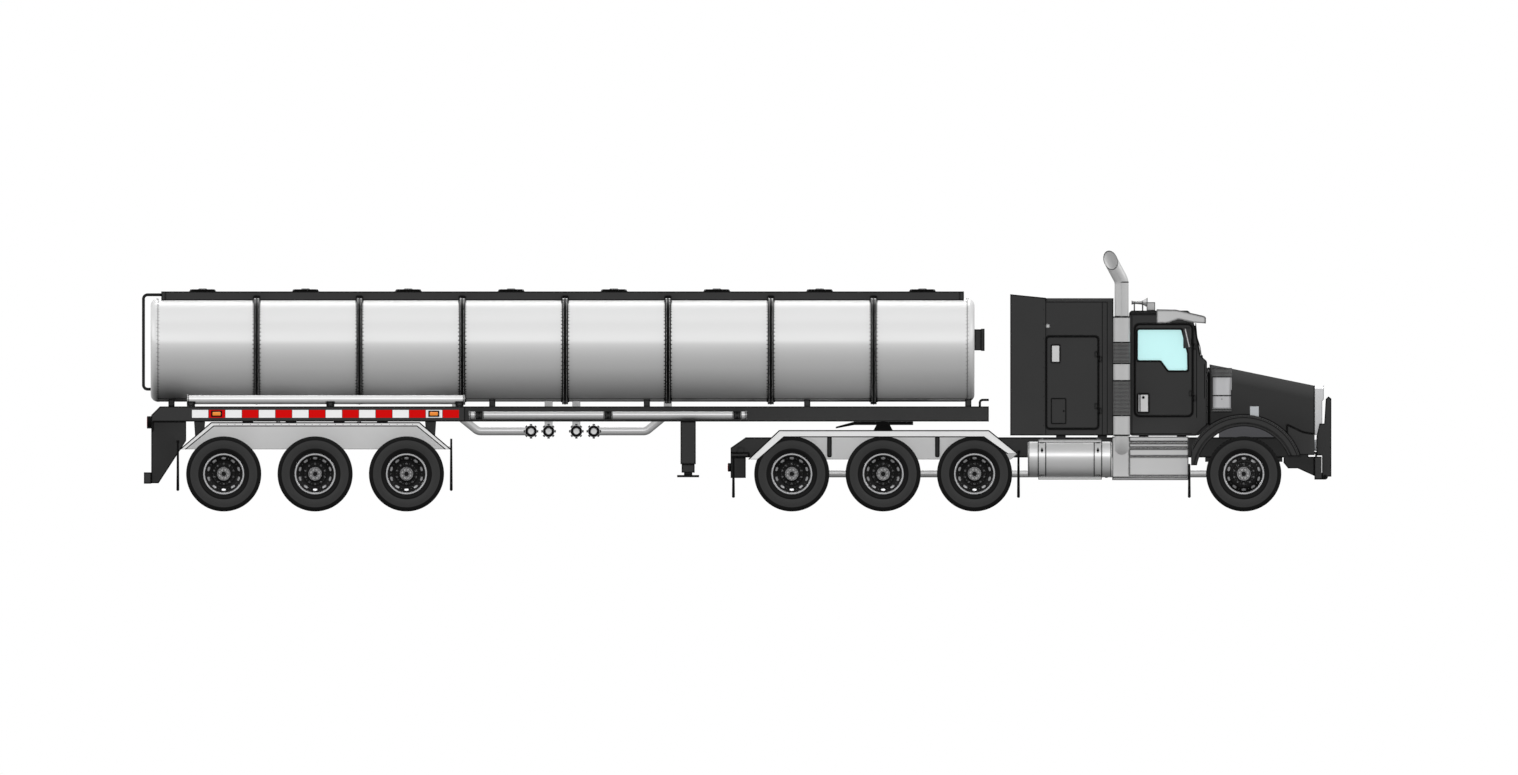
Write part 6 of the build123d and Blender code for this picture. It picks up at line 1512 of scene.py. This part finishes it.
@dataclass
class TankerSides:
    """The fuel tanks' straps, the steps, the flaps' beads, the propeller shafts and the tail lenses.

    Attributes:
        straps: Where the fuel tanks' straps stand.
        ends: Where their end seams stand.
        treads: Each step's least and greatest x, least and greatest distance from the middle, and z.
        hanger: The hangers' least and greatest distance from the middle, and z.
        flaps: The x, the outer edge and the top of each rubber flap.
        shaft_runs: Where each propeller shaft starts and ends.
    """

    fuel_y: float = 0.790
    fuel_z: float = 0.759
    straps: Pair = (4.426, 5.237)
    strap_half: float = 0.054
    ends: Pair = (4.236, 5.424)
    filler_x: float = 4.62
    treads: tuple = ((4.376, 5.288, 0.980, 1.121, 1.041), (4.376, 5.288, 0.980, 1.121, 0.505),
                     (5.700, 6.546, 1.014, 1.071, 0.493))
    hanger_xs: Pair = (1.344, 2.9085)
    hanger: Box = (0.591, 0.640, 0.785, 1.094)
    cover: Outline = ((0.173, 0.755), (0.617, 1.172), (3.655, 1.172), (4.071, 0.838))
    cover_lip: float = 0.089
    cover_y: float = 1.2515
    flaps: tuple[Point, ...] = ((-0.048, 1.219, 0.770), (4.085, 1.229, 0.884), (6.562, 1.169, 0.690))
    flap_low: float = 0.212
    shaft_runs: Outline = ((1.110, 1.850), (2.400, 3.180), (3.720, 5.300), (5.340, 6.860))
    shaft_z: float = 0.546

    def tanks(self) -> None:
        """Makes the strap edges, strap bolts and filler caps of the fuel tanks."""
        form = Form("fuel_tank_fittings")
        for side in Side:
            y, z = side * self.fuel_y, self.fuel_z
            centre = (0, y, z)
            for x in self.straps:
                for spot in (x - self.strap_half, x + self.strap_half):
                    form.hoop(spot - 0.005, spot + 0.005, 0.264, 0.006, 0.001, centre, Axis.X, BLACK_STEEL)
                form.hexagon((x, y + side * 0.235, z + 0.125), (0, side, 0.35), 0.020, 0.016)
                form.rod((x, y + side * 0.240, z + 0.09), (x, y + side * 0.222, z + 0.165), 0.008,
                         BLACK_STEEL, 8)
            for x in self.ends:
                form.hoop(x - 0.004, x + 0.004, 0.2565, 0.003, 0.001, centre, Axis.X, BLACK_STEEL)
            form.turned([(0.050, 0.236), (0.050, 0.262), (0.044, 0.268), (0.020, 0.270), (0.0, 0.268)],
                        (self.filler_x, y - side * 0.10, z), Axis.Z, SOFT_PLATED, 28)
        form.piece("tractor")

    def steps(self) -> None:
        """Makes the treadplate on every step."""
        form = Form("step_treads")
        for side in Side:
            for x0, x1, near, far, z in self.treads:
                form.block((x0, side * near, z - 0.001), (x1, side * far, z + 0.002), STEP_SHEET, 0.001)
        form.piece("tractor")

    def hangers(self) -> None:
        """Makes the dark upright hangers on the outside of the driven wheels' splash panels."""
        form = Form("cover_hangers")
        near, far, z0, z1 = self.hanger
        for side in Side:
            for x in self.hanger_xs:
                outline = rounded_box((x - 0.034, x + 0.034, z0, z1), 0.026, 4)
                form.plate(outline, side * near, side * far, DARK_PAINT)
        form.piece("tractor")

    def flap_beads(self) -> None:
        """Makes the beaded edges of the rubber flaps and of the wheel covers."""
        form = Form("flap_beads")
        for side in Side:
            form.lipped_cover(self.cover, self.cover_lip, side * self.cover_y)
            for x, y, top in self.flaps:
                form.tube([(x, side * y, top), (x, side * y, self.flap_low), (x, side * 0.79, self.flap_low)],
                          0.015, RUBBER, 10)
        form.piece("tractor")

    def shafts(self) -> None:
        """Makes the propeller shafts, pale from their painted reflection and shade, with their joint yokes."""
        form = Form("propeller_shafts")
        centre = (0, 0, self.shaft_z)
        for x0, x1 in self.shaft_runs:
            form.hoop(x0, x1, 0.0515, 0.0215, 0.03, centre, Axis.X, TUBE_SKIN, 32)
            for x in (x0 + 0.02, x1 - 0.02):
                form.hoop(x - 0.03, x + 0.03, 0.058, 0.018, 0.015, centre, Axis.X, BLACK_STEEL, 24)
        form.piece("tractor")

    def lamps(self) -> None:
        """Makes the red lenses on the tractor's tail boxes."""
        form = Form("tractor_tail_lenses")
        low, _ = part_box("tractor_frame")
        for side in Side:
            form.turned([(0.056, 0.0), (0.052, 0.004), (0.030, 0.006), (0.0, 0.007)],
                        (low.x, side * 0.405, 0.640), Axis.X, RED_LENS, 28, along=-1)
        form.piece("tractor")

    def build(self) -> None:
        """Dresses the tractor's frame and sides."""
        dress(DARK_PAINT, "tractor_frame")
        dress(DARK_PLAIN, "steer_axle", "drive_axles", "knuckle_left", "knuckle_right")
        dress(CAST, "engine")
        dress(BLACK_STEEL, "fifth_wheel")
        # The fuel tanks carry a painted reflection and shade.
        dress(TUBE_SKIN, "fuel_tanks")
        dress(LIGHT_PANEL, "step_boxes")
        # The drive wheels' covers are lightened as painted light against their shade.
        dress(COVER_PANEL_PAINTED_LIGHT, "drive_fenders")
        dress(RUBBER, "tractor_mud_flaps")
        for make in (self.tanks, self.steps, self.hangers, self.flap_beads, self.shafts, self.lamps):
            make()


@dataclass
class HoodDressing:
    """The hood's arch lines, air cleaner bands, grille mesh and lamp bezels.

    Attributes:
        arch_line: The radius of the line round a wheel arch.
        arch_rivets: The radius of its row of rivets.
        screens: The least and greatest z of each punched screen on an air cleaner.
        band_zs: Where its bands stand.
    """

    body: str = "hood_body"
    arch_x: float = 7.352
    arch_z: float = 0.545
    arch_line: float = 0.817
    arch_rivets: float = 0.838
    arch_y: float = 1.200
    arch_turns: Pair = (radians(20), radians(160))
    cleaner: Pair = (7.034, 0.812)
    screens: Outline = ((1.950, 2.074), (1.444, 1.484))
    band_zs: tuple[float, ...] = (1.442, 1.486, 1.948, 2.076)
    lamp: Pair = (0.800, 0.960)
    lamp_half: Pair = (0.118, 0.078)
    front_x: float = 8.399
    bars: int = 22
    bar_low: float = 1.178
    bar_pitch: float = 0.0275
    bar_x: float = 8.402
    bar_half: float = 0.446

    def arches(self) -> None:
        """Makes the line and the rivets along both wheel arches."""
        form = Form("arch_rivets")
        low, high = self.arch_turns

        def arc(radius: float, count: int, rear: float) -> list[tuple[float, float, float]]:
            """Points round the arch in front of a station, each as turn, x and z."""
            turns = [low + (high - low) * step / (count - 1) for step in range(count)]
            return [(turn, self.arch_x + radius * cos(turn), self.arch_z + radius * sin(turn)) for turn in turns
                    if self.arch_x + radius * cos(turn) > rear]

        for side in Side:
            line = [(x, side * self.arch_y, z) for _, x, z in arc(self.arch_line, 49, 6.60)]
            form.tube(line, 0.005, RUBBER, 6)
            for turn, x, z in arc(self.arch_rivets, 60, 6.62):
                out = (0.5 * cos(turn), side, 0.5 * sin(turn))
                form.rivet((x, side * (self.arch_y - 0.009), z), out, 0.0075)
        form.piece(self.body)

    def cleaners(self) -> None:
        """Makes the screens, bands and clamps of the air cleaners."""
        x, y = self.cleaner
        for side in Side:
            form = Form(f"cleaner_bands_{side.word}")
            for low, high in self.screens:
                form.hoop(low, high, 0.1445, 0.0045, 0.004, ORIGIN, Axis.Z, STACK_MESH, 56)
            for z in self.band_zs:
                form.hoop(z - 0.005, z + 0.005, 0.1465, 0.0035, 0.001, ORIGIN, Axis.Z, BLACK_STEEL)
            form.hoop(1.676, 1.688, 0.139, 0.005, 0.002, ORIGIN, Axis.Z, BLACK_STEEL)
            form.hexagon((0.0, side * 0.131, 1.63), (0, side, 0), 0.008, 0.006)
            form.piece(self.body, (), (x, side * y, 0.0))

    def grille(self) -> None:
        """Makes the fine cross bars behind the grille's uprights."""
        form = Form("grille_mesh")
        for step in range(self.bars):
            z = self.bar_low + step * self.bar_pitch
            form.rod((self.bar_x, -self.bar_half, z), (self.bar_x, self.bar_half, z), 0.003, BLACK_STEEL, 6)
        form.piece(self.body)

    def lamps(self) -> None:
        """Makes the headlamps' bezels and reflector rings."""
        form = Form("headlamp_bezels")
        (y, z), (wide, high) = self.lamp, self.lamp_half
        for side in Side:
            middle = side * y
            loop = rounded_box((middle - wide, middle + wide, z - high, z + high), 0.03, 4)
            form.tube([(self.front_x, a, b) for a, b in loop], 0.008, PLATED, 8, closed=True)
            for near, radius in ((0.052, 0.050), (-0.060, 0.044)):
                form.turned([(radius, 0.0), (radius - 0.004, 0.005), (radius - 0.010, 0.003), (0.0, 0.006)],
                            (self.front_x, middle + side * near, z), Axis.X, CLEAR_LENS, 32)
        form.piece(self.body)

    def build(self) -> None:
        """Dresses the hood and its front."""
        dress(DARK_PAINT, "hood", "grille_guard", "front_bumper")
        dress(PLATED, "grille")
        dress(CLEAR_LENS, "headlamps")
        dress(SOFT_PLATED, "air_cleaners")
        for make in (self.arches, self.cleaners, self.grille, self.lamps):
            make()


@dataclass
class Studio:
    """The floor, the white surround, the lamps and the camera of the side view.

    Attributes:
        floor_tone: The floor's grey as it lights the truck.
        floor_seen_tone: Its grey as the camera sees it.
        suns: Each sun's name, tilt, turn, power and spread in degrees, and whether it casts a shadow.
    """

    pixels_wide: int = 1518
    metres_per_pixel: float = 0.0145
    eye: Point = (0.3226, -30.0, 1.798)
    far_limit: float = 200.0
    floor_half: float = 60.0
    floor_tone: float = 0.36
    floor_seen_tone: float = 0.72
    surround_tone: float = 0.34
    suns: tuple = (("right", 60, 0, 1.4, 20, False), ("front", 60, 90, 1.4, 20, False),
                   ("left", 60, 180, 1.4, 20, False), ("rear", 60, 270, 1.4, 20, False),
                   ("overhead", 12, 0, 0.9, 30, True))

    def floor(self) -> None:
        """Makes the pale floor."""
        half = self.floor_half
        mesh = bpy.data.meshes.new("floor")
        corners = [(-half, -half, 0), (half, -half, 0), (half, half, 0), (-half, half, 0)]
        mesh.from_pydata(corners, [], [(0, 1, 2, 3)])
        floor = bpy.data.objects.new("floor", mesh)
        bpy.context.scene.collection.objects.link(floor)
        material = bpy.data.materials.new("floor_white")
        bench = Bench(material)
        matt, seen = (bench.node("ShaderNodeBsdfDiffuse", Color=grey(tone))
                      for tone in (self.floor_tone, self.floor_seen_tone))
        camera = bench.node("ShaderNodeLightPath", None, "Is Camera Ray")
        bench.show(bench.node("ShaderNodeMixShader", i0=camera, i1=matt, i2=seen))
        mesh.materials.append(material)

    def surround(self) -> None:
        """Lights the truck evenly and shows white to the eye and in every reflection."""
        world = bpy.data.worlds.new("surround")
        bpy.context.scene.world = world
        bench = Bench(world)
        camera, glossy, passing = (bench.node("ShaderNodeLightPath", None, f"Is {kind} Ray")
                                   for kind in ("Camera", "Glossy", "Transmission"))
        dim, white = (bench.node("ShaderNodeBackground", Color=grey(tone))
                      for tone in (self.surround_tone, 1.0))
        blend = bench.node("ShaderNodeMixShader", i0=camera.most(glossy.most(passing)), i1=dim, i2=white)
        bench.show(blend, "ShaderNodeOutputWorld")

    def lamps(self) -> None:
        """Adds one even sun without shadows from each side, and a soft one overhead with a shadow."""
        for name, tilt, turn, power, spread, shadow in self.suns:
            light = bpy.data.lights.new(f"sun_{name}", "SUN")
            light.energy = power
            light.angle = radians(spread)
            light.use_shadow = shadow
            lamp = bpy.data.objects.new(f"sun_{name}", light)
            lamp.rotation_euler = (radians(tilt), 0.0, radians(turn))
            bpy.context.scene.collection.objects.link(lamp)

    def camera(self) -> None:
        """Sets the level side view, as wide as the drawing."""
        data = bpy.data.cameras.new("side_view")
        data.type = "ORTHO"
        data.ortho_scale = self.pixels_wide * self.metres_per_pixel
        data.clip_end = self.far_limit
        camera = bpy.data.objects.new("side_view", data)
        camera.location = self.eye
        camera.rotation_euler = (pi / 2, 0.0, 0.0)
        bpy.context.scene.collection.objects.link(camera)
        bpy.context.scene.camera = camera

    def build(self) -> None:
        """Sets the stage."""
        bpy.context.scene.view_settings.view_transform = "Standard"
        for make in (self.camera, self.floor, self.surround, self.lamps):
            make()


def main() -> None:
    """Builds the stage and dresses every part of the truck."""
    logging.basicConfig(level=logging.INFO, format="%(name)s: %(message)s")
    for part in (Studio(), Wheels(), TankDressing(), TrailerDressing(), TankerSides(), StackDressing(),
                 SleeperDressing(), CabDressing(), HoodDressing()):
        part.build()


if __name__ == "__main__":
    main()
